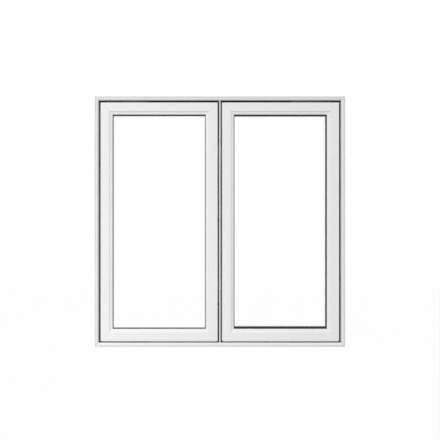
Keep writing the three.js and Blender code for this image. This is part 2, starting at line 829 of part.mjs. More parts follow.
// ---------- Lever lock, drawn for the left sash, on the mullion's left side
const leverY = yAt(windowDepth + leverPivotProud);
const tieBarX = -(mullionWebHalf + fitGap);
const lugOuter = tieBarX - tieBarThickness;
const leverInner = lugOuter - leverCrankThickness - leverCrankGap;
const leverOuter = leverInner - leverThickness;
const pinSwing = lockTravel / (2 * Math.sin(toRadians(leverSwing / 2)));
const pinRestAngle = toRadians(180 + leverSwing / 2);
const crankPin = {
  y: leverY + pinSwing * Math.cos(pinRestAngle),
  z: lockHeight + pinSwing * Math.sin(pinRestAngle),
};

// A flat strap in the upright plane across the window, from one point at an angle above level.
function uprightStrap(x0, x1, y, z, length, degrees, half, farHalf) {
  return extrude(strapShape(length, half, farHalf), x1 - x0, 6)
    .rotateZ(toRadians(degrees))
    .applyMatrix4(new THREE.Matrix4().set(0, 0, 1, x0, 1, 0, 0, y, 0, 1, 0, z, 0, 0, 0, 1));
}

function lockLeverGeometry() {
  const hub = pinAlongX(leverOuter, leverInner, leverY, lockHeight, leverHubRadius, round.pin);
  const neck = uprightStrap(leverOuter, leverInner, leverY, lockHeight, leverNeck, 90,
    leverGripHalf, leverGripHalf);
  const grip = uprightStrap(leverOuter, leverInner, leverY, lockHeight + leverNeck, leverGrip,
    leverGripRise, leverGripHalf, leverGripHalf + 1.5);
  const crank = uprightStrap(leverInner - 0.5, leverInner + leverCrankThickness, leverY,
    lockHeight, pinSwing, 180 + leverSwing / 2, leverGripHalf, crankPinRadius + 1.2);
  const pin = pinAlongX(leverInner + 1, tieBarX + fitGap / 2, crankPin.y, crankPin.z,
    crankPinRadius);
  const eye = pinAlongX(leverOuter - 1, leverInner + 4, leverY, lockHeight,
    pivotStubRadius + fitGap);
  return join(cut(join(hub, neck, grip, crank), eye), pin);
}

// A raised escutcheon, open at the back, with the lever's slot in front and its pivot stub inside.
function lockHousingGeometry() {
  const [x0, x1] = [-mullionStopHalf + lockEdgeMargin, -lockCentreGap];
  const [v0, v1] = [windowDepth + fitGap, windowDepth + lockProud];
  const [z0, z1] = [lockHeight - lockHalfHeight, lockHeight + lockHalfHeight];
  const bevel = 4;
  const shell = runAlongX(
    [
      [v0, z0],
      [v0, z1],
      [v1 - bevel, z1],
      [v1, z1 - bevel],
      [v1, z0 + bevel],
      [v1 - bevel, z0],
    ],
    x0,
    x1,
  );
  const cavity = block(x0 + lockWall, x1 - lockWall, yAt(v0 - 1), yAt(v1 - lockWall),
    z0 + bevel, z1 - bevel);
  const slot = block(leverOuter - fitGap, leverInner + fitGap, yAt(v1 - lockWall - 1), yAt(v1 + 1),
    z0 + bevel, z1 - bevel);
  const stub = pinAlongX(x0 + lockWall / 2, leverInner, leverY, lockHeight, pivotStubRadius);
  return join(cut(shell, cavity, slot), stub);
}

// The flat bar that slides on the mullion, with two rollers and a forked lug for the lever's pin.
function tieBarGeometry() {
  const bar = block(lugOuter, tieBarX, yAt(tieBarDepth), yAt(tieBarDepth + tieBarWidth),
    tieBarBottom, tieBarTop);
  const lug = block(lugOuter, tieBarX, yAt(tieBarDepth + tieBarWidth - 1),
    crankPin.y + crankPinRadius, crankPin.z - 7, crankPin.z + 7);
  const forkStart = leverY - pinSwing - crankPinRadius - runGap;
  const forkHalf = crankPinRadius + crankPinPlay;
  const fork = block(lugOuter - 1, tieBarX + 1, forkStart, crankPin.y + crankPinRadius + 1,
    crankPin.z - forkHalf, crankPin.z + forkHalf);
  const rollers = rollerHeights.map((z) =>
    pinAlongX(sashEdge + rollerEndGap, lugOuter + 0.5, yAt(rollerDepth), z, rollerRadius),
  );
  return join(cut(join(bar, lug), fork), ...rollers);
}

// A keeper in the lock stile's groove; its flange stands behind the roller when locked.
function keeperGeometry(rollerZ) {
  const front = rollerDepth + rollerRadius + runGap;
  const flangeZ = rollerZ + rollerRadius + keeperLead;
  const middle = flangeZ + keeperFlange / 2;
  const half = grooveWidth / 2 - 2 * fitGap;
  const bodyEdge = sashEdge - hardwareStep;
  const base = block(bodyEdge - grooveDepth + fitGap, bodyEdge - fitGap, hingeY - half,
    hingeY + half, middle - keeperLength / 2, middle + keeperLength / 2);
  const flange = block(bodyEdge - 1, lugOuter - keeperReachGap, yAt(front),
    yAt(front + keeperFlangeThickness), flangeZ, flangeZ + keeperFlange);
  return join(base, flange);
}

// ---------- Materials
const finish = (color, roughness, metalness = 0) =>
  new THREE.MeshStandardMaterial({ color, roughness, metalness });
const vinyl = () => finish(0xf2f3f1, 0.4);
const steel = () => finish(0xb9bcbf, 0.3, 1);
const nylon = () => finish(0x2b2c2d, 0.6);
const casting = () => finish(0xe6e6e2, 0.45);
const zinc = () => finish(0xa9acae, 0.4, 1);
const spacerMetal = () => finish(0x26282a, 0.5);
const clearGlass = () => {
  const glass = finish(0xf4faf8, 0.05);
  glass.transparent = true;
  glass.opacity = 0.3;
  return glass;
};

function piece(name, geometry, material) {
  const mesh = new THREE.Mesh(geometry, material);
  mesh.name = name;
  return mesh;
}

// ---------- Assembly
function buildFrame() {
  const section = frameSection();
  const sides = sidesOf({
    left: jambX,
    right: -jambX,
    bottom: 0,
    top: windowHeight,
  });
  const sill = cut(
    frameMember(section, sides.bottom),
    ...operatorCutouts(1),
    ...operatorCutouts(-1),
  );
  const group = new THREE.Group();
  group.add(
    piece("sill", sill, vinyl()),
    piece("head", frameMember(section, sides.top), vinyl()),
    piece("left_jamb", frameMember(section, sides.left), vinyl()),
    piece("right_jamb", frameMember(section, sides.right), vinyl()),
    piece("center_mullion", mullionGeometry(), vinyl()),
  );
  return group;
}

// Everything that belongs to one sash, drawn for the left one.
function buildSashUnit(prefix) {
  const group = new THREE.Group();
  const add = (name, geometry, material) => group.add(piece(prefix + name, geometry, material));

  const { outline, chambers } = sashSection();
  const sides = sidesOf(sashBox);
  add("hinge_stile", mitred(outline, chambers, sides.left), vinyl());
  add("lock_stile", mitred(outline, chambers, sides.right), vinyl());
  add("top_rail", mitred(outline, chambers, sides.top), vinyl());
  add("bottom_rail", mitred(outline, chambers, sides.bottom), vinyl());
  add("outer_pane", paneGeometry(glassSetback), clearGlass());
  add("inner_pane", paneGeometry(glassBack - paneThickness), clearGlass());
  add("spacer", spacerGeometry(), spacerMetal());
  add("glazing_bead", beadGeometry(), vinyl());

  const hinge = [
    ["track", "hinge_track", steel],
    ["supportArm", "support_arm", steel],
    ["sashArm", "sash_arm", steel],
    ["shoe", "shoe", nylon],
  ];
  for (const [key, name, material] of hinge) {
    const lower = hingePieces[key]();
    add("lower_" + name, lower, material());
    add("upper_" + name, upsideDown(lower), material());
  }

  add("operator_housing", operatorHousingGeometry(), casting());
  add("worm_shaft", wormShaftGeometry(), steel());
  add("crank_handle", crankHandleGeometry(), casting());
  add("drive_arm", driveArmGeometry(), steel());
  add("link_arm", linkArmGeometry(), steel());
  add("sash_bracket", bracketGeometry(), zinc());

  add("lock_housing", lockHousingGeometry(), casting());
  add("lock_lever", lockLeverGeometry(), casting());
  add("tie_bar", tieBarGeometry(), steel());
  ["lower_keeper", "upper_keeper"].forEach((name, i) => {
    add(name, keeperGeometry(rollerHeights[i]), zinc());
  });
  return group;
}

const window_ = new THREE.Group();
const leftUnit = buildSashUnit("left_");
const rightUnit = buildSashUnit("right_");
rightUnit.scale.x = -1; // the right sash is the left one's mirror image
window_.add(buildFrame(), leftUnit, rightUnit);

export default window_;
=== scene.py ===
# %% [markdown]
# # A white vinyl twin casement window
# Two sashes, hinged at the jambs, open outwards like doors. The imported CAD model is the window's
# real structure: every extrusion, pane, arm and casting is already there at its true size. This
# lesson dresses it: a camera and a plain studio, then the finish of each material, and then the
# seals, screws and handles that a factory adds last.

import math

import bmesh
import bpy
from mathutils import Matrix, Vector


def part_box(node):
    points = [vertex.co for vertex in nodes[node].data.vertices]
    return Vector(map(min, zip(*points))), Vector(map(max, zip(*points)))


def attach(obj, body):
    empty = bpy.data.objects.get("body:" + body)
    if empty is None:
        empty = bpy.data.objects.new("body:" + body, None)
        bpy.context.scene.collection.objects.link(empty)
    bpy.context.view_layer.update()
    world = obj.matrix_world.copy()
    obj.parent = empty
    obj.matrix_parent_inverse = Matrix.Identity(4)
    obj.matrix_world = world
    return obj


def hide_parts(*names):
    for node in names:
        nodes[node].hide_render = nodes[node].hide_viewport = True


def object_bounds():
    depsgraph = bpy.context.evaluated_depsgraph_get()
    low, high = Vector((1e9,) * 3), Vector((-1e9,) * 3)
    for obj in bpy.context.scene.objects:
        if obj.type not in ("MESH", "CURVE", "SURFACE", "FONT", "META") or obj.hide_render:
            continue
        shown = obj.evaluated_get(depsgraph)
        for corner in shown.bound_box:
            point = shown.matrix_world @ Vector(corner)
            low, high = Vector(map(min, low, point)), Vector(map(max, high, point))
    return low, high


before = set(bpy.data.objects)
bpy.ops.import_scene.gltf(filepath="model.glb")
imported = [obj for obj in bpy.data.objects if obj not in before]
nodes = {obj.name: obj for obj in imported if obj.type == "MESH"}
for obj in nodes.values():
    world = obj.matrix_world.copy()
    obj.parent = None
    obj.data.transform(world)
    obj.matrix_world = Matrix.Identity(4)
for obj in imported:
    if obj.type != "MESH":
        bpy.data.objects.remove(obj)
cad_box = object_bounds()
MM = 0.001
SIDES = {"left": 1, "right": -1}  # the right unit mirrors the left one
print(len(nodes), "CAD nodes, box", [tuple(round(v, 4) for v in corner) for corner in cad_box])

# %% [markdown]
# ## Camera
# The window is seen almost straight on, from a little to the left of its middle, with its
# uprights kept parallel as an architectural lens keeps them. Turning the camera towards the
# middle would make the far side smaller. So the camera looks square at the wall instead, and a
# small lens shift brings the window back to the middle of the frame.

# %% Camera
OUTDOOR_Y = cad_box[0][1]  # the window's outdoor face
MIDDLE_HEIGHT = (cad_box[0][2] + cad_box[1][2]) / 2
VIEW_DISTANCE = 2.335  # from the lens to the outdoor face
VIEW_OFFSET = 0.28  # lens to the left of the window's middle
VIEW_WIDTH = 2.14  # what the frame takes in at the outdoor face
VIEW_RISE = 0.0038  # upward lens shift, as a share of the frame's width
SENSOR = 36.0


def new_object(name, data):
    made = bpy.data.objects.new(name, data)
    bpy.context.scene.collection.objects.link(made)
    return made


camera_data = bpy.data.cameras.new("camera")
camera_data.sensor_width = SENSOR
camera_data.lens = SENSOR * VIEW_DISTANCE / VIEW_WIDTH
camera_data.shift_x = VIEW_OFFSET / VIEW_WIDTH
camera_data.shift_y = VIEW_RISE
camera = new_object("camera", camera_data)
camera.location = (-VIEW_OFFSET, OUTDOOR_Y - VIEW_DISTANCE, MIDDLE_HEIGHT)
camera.rotation_euler = (math.pi / 2, 0, 0)
bpy.context.scene.camera = camera
bpy.context.scene.view_settings.view_transform = "Standard"
print("lens", round(camera_data.lens, 2), "mm")

# %% [markdown]
# ## Nodes and colours
# A material is a small graph. One helper adds a node, sets its sockets and links it, so that
# each finish below reads as a recipe. Colours are written as sRGB hex, as a paint chart gives
# them, and turned into the linear values that the renderer works in.

# %% Helpers for node graphs


def linear(hex_colour, alpha=1.0):
    channels = [int(hex_colour[i : i + 2], 16) / 255 for i in (1, 3, 5)]
    return (*(c / 12.92 if c <= 0.04045 else ((c + 0.055) / 1.055) ** 2.4 for c in channels), alpha)


def add(tree, kind, inputs=None, links=None, **settings):
    """Adds one node: settings are its properties, inputs its sockets' values, links its sources."""
    node = tree.nodes.new(kind)
    for name, value in settings.items():
        setattr(node, name, value)
    for name, value in (inputs or {}).items():
        node.inputs[name].default_value = value
    for name, (source, output) in (links or {}).items():
        tree.links.new(source.outputs[output], node.inputs[name])
    return node


def new_material(name):
    material = bpy.data.materials.new(name)
    material.use_nodes = True
    material.node_tree.nodes.clear()
    return material, material.node_tree


print("half grey is", round(linear("#808080")[0], 3), "in linear light")

# %% [markdown]
# ## Studio background and floor
# The window stands before plain white. Bright lamps could burn the background out to white, but
# they would burn the white vinyl too. So the background is white only where the eye meets it,
# directly or in glass and metal, which Light Path tells apart, and a dimmer sky lights the
# window. The window hangs in a wall, so the floor lies about a metre below its sill, and it
# keeps a trace of its own paint, so that the window's shadow still falls on it.

# %% Studio background and floor
SKY = 1.13  # room light from straight above, fading to none straight below
FLOOR_DROP = 0.95
FLOOR_HALF = 9.0
FLOOR_WHITE = 0.985  # how much of the floor's look is plain white; the rest is its paint
WHITE = (1, 1, 1, 1)


def seen_directly(tree):
    """A value of 1 on rays from the camera and on those that glass and metal send on."""
    path = add(tree, "ShaderNodeLightPath")
    first = add(tree, "ShaderNodeMath", operation="MAXIMUM",
                links={0: (path, "Is Camera Ray"), 1: (path, "Is Glossy Ray")})
    return add(tree, "ShaderNodeMath", operation="MAXIMUM",
               links={0: (first, 0), 1: (path, "Is Transmission Ray")})


def build_sky():
    world = bpy.data.worlds.new("studio")
    world.use_nodes = True
    tree = world.node_tree
    tree.nodes.clear()
    place = add(tree, "ShaderNodeTexCoord")
    axes = add(tree, "ShaderNodeSeparateXYZ", links={"Vector": (place, "Generated")})
    level = add(tree, "ShaderNodeMapRange", links={"Value": (axes, "Z")},
                inputs={"From Min": -1.0, "From Max": 1.0, "To Min": 0.0, "To Max": SKY})
    room = add(tree, "ShaderNodeBackground", inputs={"Color": WHITE},
               links={"Strength": (level, 0)})
    white = add(tree, "ShaderNodeBackground", inputs={"Color": WHITE, "Strength": 1.0})
    mix = add(tree, "ShaderNodeMixShader",
              links={0: (seen_directly(tree), 0), 1: (room, 0), 2: (white, 0)})
    add(tree, "ShaderNodeOutputWorld", links={"Surface": (mix, 0)})
    bpy.context.scene.world = world


def build_floor():
    material, tree = new_material("pale studio floor")
    paint = add(tree, "ShaderNodeBsdfDiffuse", inputs={"Color": linear("#a6a6a6")})
    part = add(tree, "ShaderNodeMath", operation="MULTIPLY", inputs={1: FLOOR_WHITE},
               links={0: (seen_directly(tree), 0)})
    white = add(tree, "ShaderNodeEmission", inputs={"Color": WHITE, "Strength": 1.0})
    mix = add(tree, "ShaderNodeMixShader", links={0: (part, 0), 1: (paint, 0), 2: (white, 0)})
    add(tree, "ShaderNodeOutputMaterial", links={"Surface": (mix, 0)})
    mesh = bpy.data.meshes.new("floor")
    corners = [(x * FLOOR_HALF, y * FLOOR_HALF, -FLOOR_DROP)
               for x, y in ((-1, -1), (1, -1), (1, 1), (-1, 1))]
    mesh.from_pydata(corners, [], [(0, 1, 2, 3)])
    mesh.materials.append(material)
    new_object("floor", mesh)


build_sky()
build_floor()
print("floor", FLOOR_DROP, "m below the sill")

# %% [markdown]
# ## Lamps
# One large soft lamp stands high at the left, in front. Two weak ones low down lift the sill, as
# light does that comes back off pale paving, and one lights the room side. Small lamps would
# draw hard shadows in the gaps, so each is a wide disk. The low ones are hidden from reflections,
# or the glass would show them.

# %% Lamps
MIDDLE = (0, 0, MIDDLE_HEIGHT)
LAMPS = {  # place, width, watts, and whether glass and metal show it
    "key": ((-2.4, -2.6, 3.0), 2.2, 37, True),
    "low front": ((0.3, -3.3, -0.3), 2.2, 13.7, False),
    "left bounce": ((-1.5, -1.5, -0.2), 1.2, 6.8, False),
    "room side": ((2.6, 3.0, 1.8), 2.2, 40, True),
}

for name, (place, width, watts, in_glass) in LAMPS.items():
    data = bpy.data.lights.new(name, "AREA")
    data.shape = "DISK"
    data.size = width
    data.energy = watts
    lamp = new_object(name, data)
    lamp.location = place
    lamp.rotation_euler = (Vector(MIDDLE) - Vector(place)).to_track_quat("-Z", "Y").to_euler()
    lamp.visible_camera = False
    lamp.visible_transmission = False
    lamp.visible_glossy = in_glass
print("lamps:", list(LAMPS))

# %% [markdown]
# ## Extruded vinyl
# The frame and sashes are rigid vinyl (PVC) pushed through a steel die. It gives the eye a plain
# white with a satin sheen and very faint straight lines along each length. A painted picture would
# repeat and show its seams. So the bump is a noise that is long one way and fine the other, and
# each member takes the version that runs along it. The frame's white is a shade greyer than the
# sashes'. That grey is painted shade: it stands in for the shadow that falls on the frame's face
# round the gaps.

# %% Extruded vinyl
DIE_LINE = 1.6 * MM  # spacing of the die's marks; real ones are finer, drawn coarse to show
ORANGE_PEEL = 9 * MM  # the width of the slow ripples in a cooled skin
DRAWN_OUT = 0.004  # how far the pattern is stretched along the member
SASH_WHITES = ("#f0f0f0", "#f4f4f4")
# painted shade: the frame's whites are greyer than the sashes' to stand in for its shadow round the
# gaps
FRAME_WHITES_PAINTED_SHADE = ("#e8e8e8", "#ededed")
LEVEL, DEEP, UPRIGHT = 0, 1, 2  # the axis that a member or a grain runs along


def drawn_along(axis, share):
    """A scale for each axis that draws a noise out along one of them."""
    return [share if i == axis else 1.0 for i in range(3)]


def extruded_vinyl(name, along, whites):
    material, tree = new_material(name)
    place = add(tree, "ShaderNodeTexCoord")
    lines = add(tree, "ShaderNodeMapping", inputs={"Scale": drawn_along(along, DRAWN_OUT)},
                links={"Vector": (place, "Object")})
    die = add(tree, "ShaderNodeTexNoise", inputs={"Scale": 1 / DIE_LINE, "Detail": 2.0,
              "Roughness": 0.6}, links={"Vector": (lines, 0)})
    peel = add(tree, "ShaderNodeTexNoise", inputs={"Scale": 1 / ORANGE_PEEL, "Detail": 1.0},
               links={"Vector": (place, "Object")})
    bump = add(tree, "ShaderNodeBump", inputs={"Strength": 0.10, "Distance": 0.02 * MM},
               links={"Height": (die, 0)})
    soft = add(tree, "ShaderNodeBump", inputs={"Strength": 0.08, "Distance": 0.06 * MM},
               links={"Height": (peel, 0), "Normal": (bump, 0)})
    shade = add(tree, "ShaderNodeValToRGB", links={"Fac": (die, 0)})
    for stop, position, white in zip(shade.color_ramp.elements, (0.3, 0.7), whites):
        stop.position, stop.color = position, linear(white)
    sheen = add(tree, "ShaderNodeMapRange", inputs={"To Min": 0.34, "To Max": 0.44},
                links={"Value": (peel, 0)})
    surface = add(tree, "ShaderNodeBsdfPrincipled", inputs={"IOR": 1.53},
                  links={"Base Color": (shade, 0), "Roughness": (sheen, 0), "Normal": (soft, 0)})
    add(tree, "ShaderNodeOutputMaterial", links={"Surface": (surface, 0)})
    return material


sash_level = extruded_vinyl("extruded vinyl, sash, level", LEVEL, SASH_WHITES)
sash_upright = extruded_vinyl("extruded vinyl, sash, upright", UPRIGHT, SASH_WHITES)
frame_level = extruded_vinyl("extruded vinyl, frame, level", LEVEL, FRAME_WHITES_PAINTED_SHADE)
frame_upright = extruded_vinyl("extruded vinyl, frame, upright", UPRIGHT, FRAME_WHITES_PAINTED_SHADE)
print("vinyl:", SASH_WHITES, FRAME_WHITES_PAINTED_SHADE)

# %% [markdown]
# ## Glass
# Clear float glass is colourless through its face. It bends light at an index of 1.52, and its
# polish is perfect, so roughness is zero: the eye gets sharp reflections and clear sight through
# it. Float glass keeps a very slight waviness from the bath it was drawn on, which a broad and
# very weak bump gives to its reflections.

# %% Glass
FLOAT_WAVE = 70 * MM


def float_glass():
    material, tree = new_material("clear float glass")
    place = add(tree, "ShaderNodeTexCoord")
    wave = add(tree, "ShaderNodeTexNoise", inputs={"Scale": 1 / FLOAT_WAVE, "Detail": 0.0},
               links={"Vector": (place, "Object")})
    bump = add(tree, "ShaderNodeBump", inputs={"Strength": 0.02, "Distance": 0.02 * MM},
               links={"Height": (wave, 0)})
    surface = add(tree, "ShaderNodeBsdfPrincipled", inputs={"Base Color": WHITE,
                  "Roughness": 0.0, "IOR": 1.52, "Transmission Weight": 1.0},
                  links={"Normal": (bump, 0)})
    add(tree, "ShaderNodeOutputMaterial", links={"Surface": (surface, 0)})
    return material


glass = float_glass()
print("glass waves", round(FLOAT_WAVE / MM), "mm wide")

# %% [markdown]
# ## Moulded and cast skins
# The rubber seals, the nylon shoes, the foam spacer and the enamelled castings are all shaped
# in a mould or a die, which leaves a fine even grain with no direction. Each could have a graph
# of its own, but they would differ only in their figures. So one recipe serves them all: a noise
# of the grain's size shifts the tone, the roughness and a small bump together.

# %% Rubber, nylon, foam and enamel
MOULDED_RELIEF = 0.05 * MM


def grained(name, tones, grain, rough, relief, drawn=(1, 1, 1), detail=3.0, metallic=0.0):
    """A skin of two tones: rough is its least and greatest roughness, and relief its bump's
    strength and height."""
    material, tree = new_material(name)
    place = add(tree, "ShaderNodeTexCoord")
    lines = add(tree, "ShaderNodeMapping", inputs={"Scale": drawn},
                links={"Vector": (place, "Object")})
    noise = add(tree, "ShaderNodeTexNoise", inputs={"Scale": 1 / grain, "Detail": detail},
                links={"Vector": (lines, 0)})
    shade = add(tree, "ShaderNodeValToRGB", links={"Fac": (noise, 0)})
    for stop, position, tone in zip(shade.color_ramp.elements, (0.35, 0.65), tones):
        stop.position, stop.color = position, linear(tone)
    sheen = add(tree, "ShaderNodeMapRange", inputs={"To Min": rough[0], "To Max": rough[1]},
                links={"Value": (noise, 0)})
    bump = add(tree, "ShaderNodeBump", inputs={"Strength": relief[0], "Distance": relief[1]},
               links={"Height": (noise, 0)})
    surface = add(tree, "ShaderNodeBsdfPrincipled", inputs={"Metallic": metallic},
                  links={"Base Color": (shade, 0), "Roughness": (sheen, 0), "Normal": (bump, 0)})
    add(tree, "ShaderNodeOutputMaterial", links={"Surface": (surface, 0)})
    return material


# Foam is dull and pitted, rubber is matt black with a soft edge, and nylon is a little glossier.
spacer_foam = grained("dark structural foam spacer", ("#202224", "#2a2c2f"), 0.8 * MM,
                      (0.54, 0.66), (0.3, MOULDED_RELIEF))
rubber = grained("extruded EPDM rubber", ("#1a1a1a", "#232323"), 1.2 * MM, (0.56, 0.68),
                 (0.25, MOULDED_RELIEF))
nylon = grained("moulded black nylon", ("#1d1e1f", "#26272a"), 0.7 * MM, (0.44, 0.56),
                (0.3, MOULDED_RELIEF))
# Baked enamel flows out smooth over the casting, and only a faint ripple is left in its gloss.
enamel = grained("white baked enamel on die casting", ("#ececea", "#efefed"), 2.5 * MM,
                 (0.24, 0.36), (0.15, MOULDED_RELIEF))
# The glazing bead is vinyl too, but so slim that its die lines don't show.
bead_vinyl = grained("extruded vinyl, glazing bead", SASH_WHITES, 1.6 * MM, (0.34, 0.46),
                     (0.1, MOULDED_RELIEF))
print("skins:", [skin.name for skin in (spacer_foam, rubber, nylon, enamel, bead_vinyl)])

# %% [markdown]
# ## Metals
# The hinges, arms and tie bar are stainless strip, brushed along its length, which draws the
# light out into streaks. The keepers and brackets are zinc plated steel, duller and more
# clouded. Both are full metals. Anisotropic shading could draw the streaks, but not the grain
# that a near eye sees, so the same recipe is used with its noise drawn out along the strip.

# %% Stainless and zinc
SCRATCH = 0.5 * MM  # real scratches are finer and wouldn't show, so these are drawn coarser
ZINC_CLOUD = 2.0 * MM
BRUSHED_OUT = 0.02
BRUSHED_RELIEF = (0.15, 0.02 * MM)


def brushed_metal(name, tones, grain, rough, along):
    return grained(name, tones, grain, rough, BRUSHED_RELIEF, drawn_along(along, BRUSHED_OUT),
                   detail=4.0, metallic=1.0)


STEEL = (("#a9abad", "#c9cbcd"), SCRATCH, (0.24, 0.42))
stainless = brushed_metal("brushed stainless steel", *STEEL, LEVEL)
stainless_upright = brushed_metal("brushed stainless steel, upright", *STEEL, UPRIGHT)
zinc = brushed_metal("zinc plated steel", ("#8f9294", "#b4b8ba"), ZINC_CLOUD, (0.30, 0.48), DEEP)
print("metals:", stainless.name, "and", zinc.name)

# %% [markdown]
# ## A finish for every CAD node
# Each node of the CAD model takes its finish from the last words of its name, so one table
# covers all of them. Naming the nodes one by one would be longer and would miss one sooner.

# %% Finishes
FINISHES = {
    "sill": frame_level, "head": frame_level, "jamb": frame_upright, "mullion": frame_upright,
    "stile": sash_upright, "rail": sash_level, "glazing_bead": bead_vinyl, "pane": glass,
    "spacer": spacer_foam, "shoe": nylon, "keeper": zinc, "sash_bracket": zinc,
    "tie_bar": stainless_upright, "operator_housing": enamel, "lock_housing": enamel,
    "crank_handle": enamel, "lock_lever": enamel, "track": stainless, "support_arm": stainless,
    "sash_arm": stainless, "drive_arm": stainless, "link_arm": stainless, "worm_shaft": stainless,
}


def kind_of(name, table):
    """What the table says for the longest ending that the name has."""
    matches = [key for key in table if name.endswith(key)]
    return table[max(matches, key=len)] if matches else None


for name, obj in nodes.items():
    obj.data.materials.clear()
    obj.data.materials.append(kind_of(name, FINISHES))
print("finished", len(nodes), "nodes")

# %% [markdown]
# ## Eased edges
# No real edge is perfectly sharp: a die leaves a small radius, a stamped strip a smaller one and
# a casting a larger one, and each catches a thin line of light. Moving the edges in the mesh
# would change the CAD's sizes. A Bevel modifier rounds them instead, after a Weld has joined the
# CAD mesh's loose triangles and a planar Decimate has merged the flat ones, so that only real
# edges are rounded.

# %% Eased edges
EASED_EDGES = {  # radius of each kind of edge
    "sill": 0.4 * MM, "head": 0.4 * MM, "jamb": 0.4 * MM, "mullion": 0.4 * MM,
    "stile": 0.4 * MM, "rail": 0.4 * MM, "glazing_bead": 0.5 * MM, "shoe": 0.4 * MM,
    "keeper": 0.3 * MM, "sash_bracket": 0.3 * MM, "tie_bar": 0.2 * MM, "track": 0.2 * MM,
    "operator_housing": 0.9 * MM, "lock_housing": 0.9 * MM, "support_arm": 0.25 * MM,
    "sash_arm": 0.25 * MM, "drive_arm": 0.25 * MM, "link_arm": 0.25 * MM,
}
FLAT_ANGLE = math.radians(1)  # faces that turn less than this are one flat face
SHARP_ANGLE = math.radians(32)  # edges that turn more than this are rounded
STEPS, CAST_STEPS = 2, 3  # faces round an edge, and round the broader edge of a casting


def ease_edges(obj, radius, segments):
    weld = obj.modifiers.new("join triangles", "WELD")
    weld.merge_threshold = 0.01 * MM
    flat = obj.modifiers.new("merge flat faces", "DECIMATE")
    flat.decimate_type = "DISSOLVE"
    flat.angle_limit = FLAT_ANGLE
    bevel = obj.modifiers.new("eased edges", "BEVEL")
    bevel.width = radius
    bevel.segments = segments
    bevel.limit_method = "ANGLE"
    bevel.angle_limit = SHARP_ANGLE


for name, obj in nodes.items():
    radius = kind_of(name, EASED_EDGES)
    if radius:
        ease_edges(obj, radius, CAST_STEPS if "housing" in name else STEPS)
print("eased", sum(bool(obj.modifiers) for obj in nodes.values()), "nodes")

# %% [markdown]
# ## One runner for every Geometry Nodes tree
# Seals and screws repeat or follow a path, so trees make them. This helper gives a tree a
# carrier object, fills its named inputs by their identifiers, and keeps the result as a plain
# mesh. The tree could stay live on the piece, but an exported piece has to hold its own shape.

# %% Run a tree


def new_tree(name, sockets):
    tree = bpy.data.node_groups.new(name, "GeometryNodeTree")
    tree.interface.new_socket("Geometry", in_out="INPUT", socket_type="NodeSocketGeometry")
    for label, kind in sockets:
        tree.interface.new_socket(label, in_out="INPUT", socket_type="NodeSocket" + kind)
    tree.interface.new_socket("Geometry", in_out="OUTPUT", socket_type="NodeSocketGeometry")
    return tree, add(tree, "NodeGroupInput")


def end_tree(tree, last, given):
    """Makes the copies real, names their material and closes the tree."""
    real = add(tree, "GeometryNodeRealizeInstances", links={0: (last, 0)})
    named = add(tree, "GeometryNodeSetMaterial",
                links={"Geometry": (real, 0), "Material": (given, "Material")})
    add(tree, "NodeGroupOutput", links={0: (named, 0)})
    return tree


def grow(name, tree, values, source, smooth=True):
    """The tree's result on the mesh source, as a plain mesh object."""
    carrier = new_object(name, source)
    modifier = carrier.modifiers.new(name, "NODES")
    modifier.node_group = tree
    sockets = {item.name: item.identifier for item in tree.interface.items_tree
               if item.item_type == "SOCKET" and item.in_out == "INPUT"}
    for key, value in values.items():
        modifier[sockets[key]] = value
    evaluated = carrier.evaluated_get(bpy.context.evaluated_depsgraph_get())
    mesh = bpy.data.meshes.new_from_object(evaluated)
    carrier.modifiers.remove(modifier)
    carrier.data = mesh
    mesh.name = name
    mesh.polygons.foreach_set("use_smooth", [smooth] * len(mesh.polygons))
    return carrier


print("tree runner ready")

# %% [markdown]
# ## A tree for seals
# A rubber seal is one soft section pushed out by the metre and laid along a path. A bevelled
# curve could draw it, but its section stays round. This tree sweeps an oval instead, with its
# width and depth as inputs, along a path with small rounded corners, so that it makes every
# seal. The path is drawn flat and then stood upright at its depth.

# %% The swept seal
SECTION_POINTS = 12
CORNER_POINTS = 4


def seal_tree():
    tree, given = new_tree("swept seal", (("Half Width", "Float"), ("Half Depth", "Float"),
                           ("Corner", "Float"), ("Depth", "Float"), ("Material", "Material")))
    path = add(tree, "GeometryNodeMeshToCurve", links={"Mesh": (given, "Geometry")})
    rounded = add(tree, "GeometryNodeFilletCurve", mode="POLY",
                  inputs={"Count": CORNER_POINTS},
                  links={0: (path, 0), "Radius": (given, "Corner")})
    turned = add(tree, "GeometryNodeSetCurveNormal", mode="Z_UP", links={"Curve": (rounded, 0)})
    circle = add(tree, "GeometryNodeCurvePrimitiveCircle",
                 inputs={"Resolution": SECTION_POINTS, "Radius": 1.0})
    shape = add(tree, "ShaderNodeCombineXYZ", inputs={"Z": 1.0},
                links={"X": (given, "Half Width"), "Y": (given, "Half Depth")})
    section = add(tree, "GeometryNodeTransform",
                  links={"Geometry": (circle, 0), "Scale": (shape, 0)})
    swept = add(tree, "GeometryNodeCurveToMesh", inputs={"Fill Caps": True},
                links={0: (turned, 0), 1: (section, 0)})
    back = add(tree, "ShaderNodeCombineXYZ", links={"Y": (given, "Depth")})
    stood = add(tree, "GeometryNodeTransform", inputs={"Rotation": (math.pi / 2, 0, 0)},
                links={"Geometry": (swept, 0), "Translation": (back, 0)})
    return end_tree(tree, stood, given)


def face_outwards(mesh):
    """Joins doubled points and turns every face of a closed mesh outwards."""
    work = bmesh.new()
    work.from_mesh(mesh)
    bmesh.ops.remove_doubles(work, verts=work.verts, dist=0.001 * MM)
    bmesh.ops.recalc_face_normals(work, faces=work.faces)
    work.to_mesh(mesh)
    work.free()


SEAL_TREE = seal_tree()


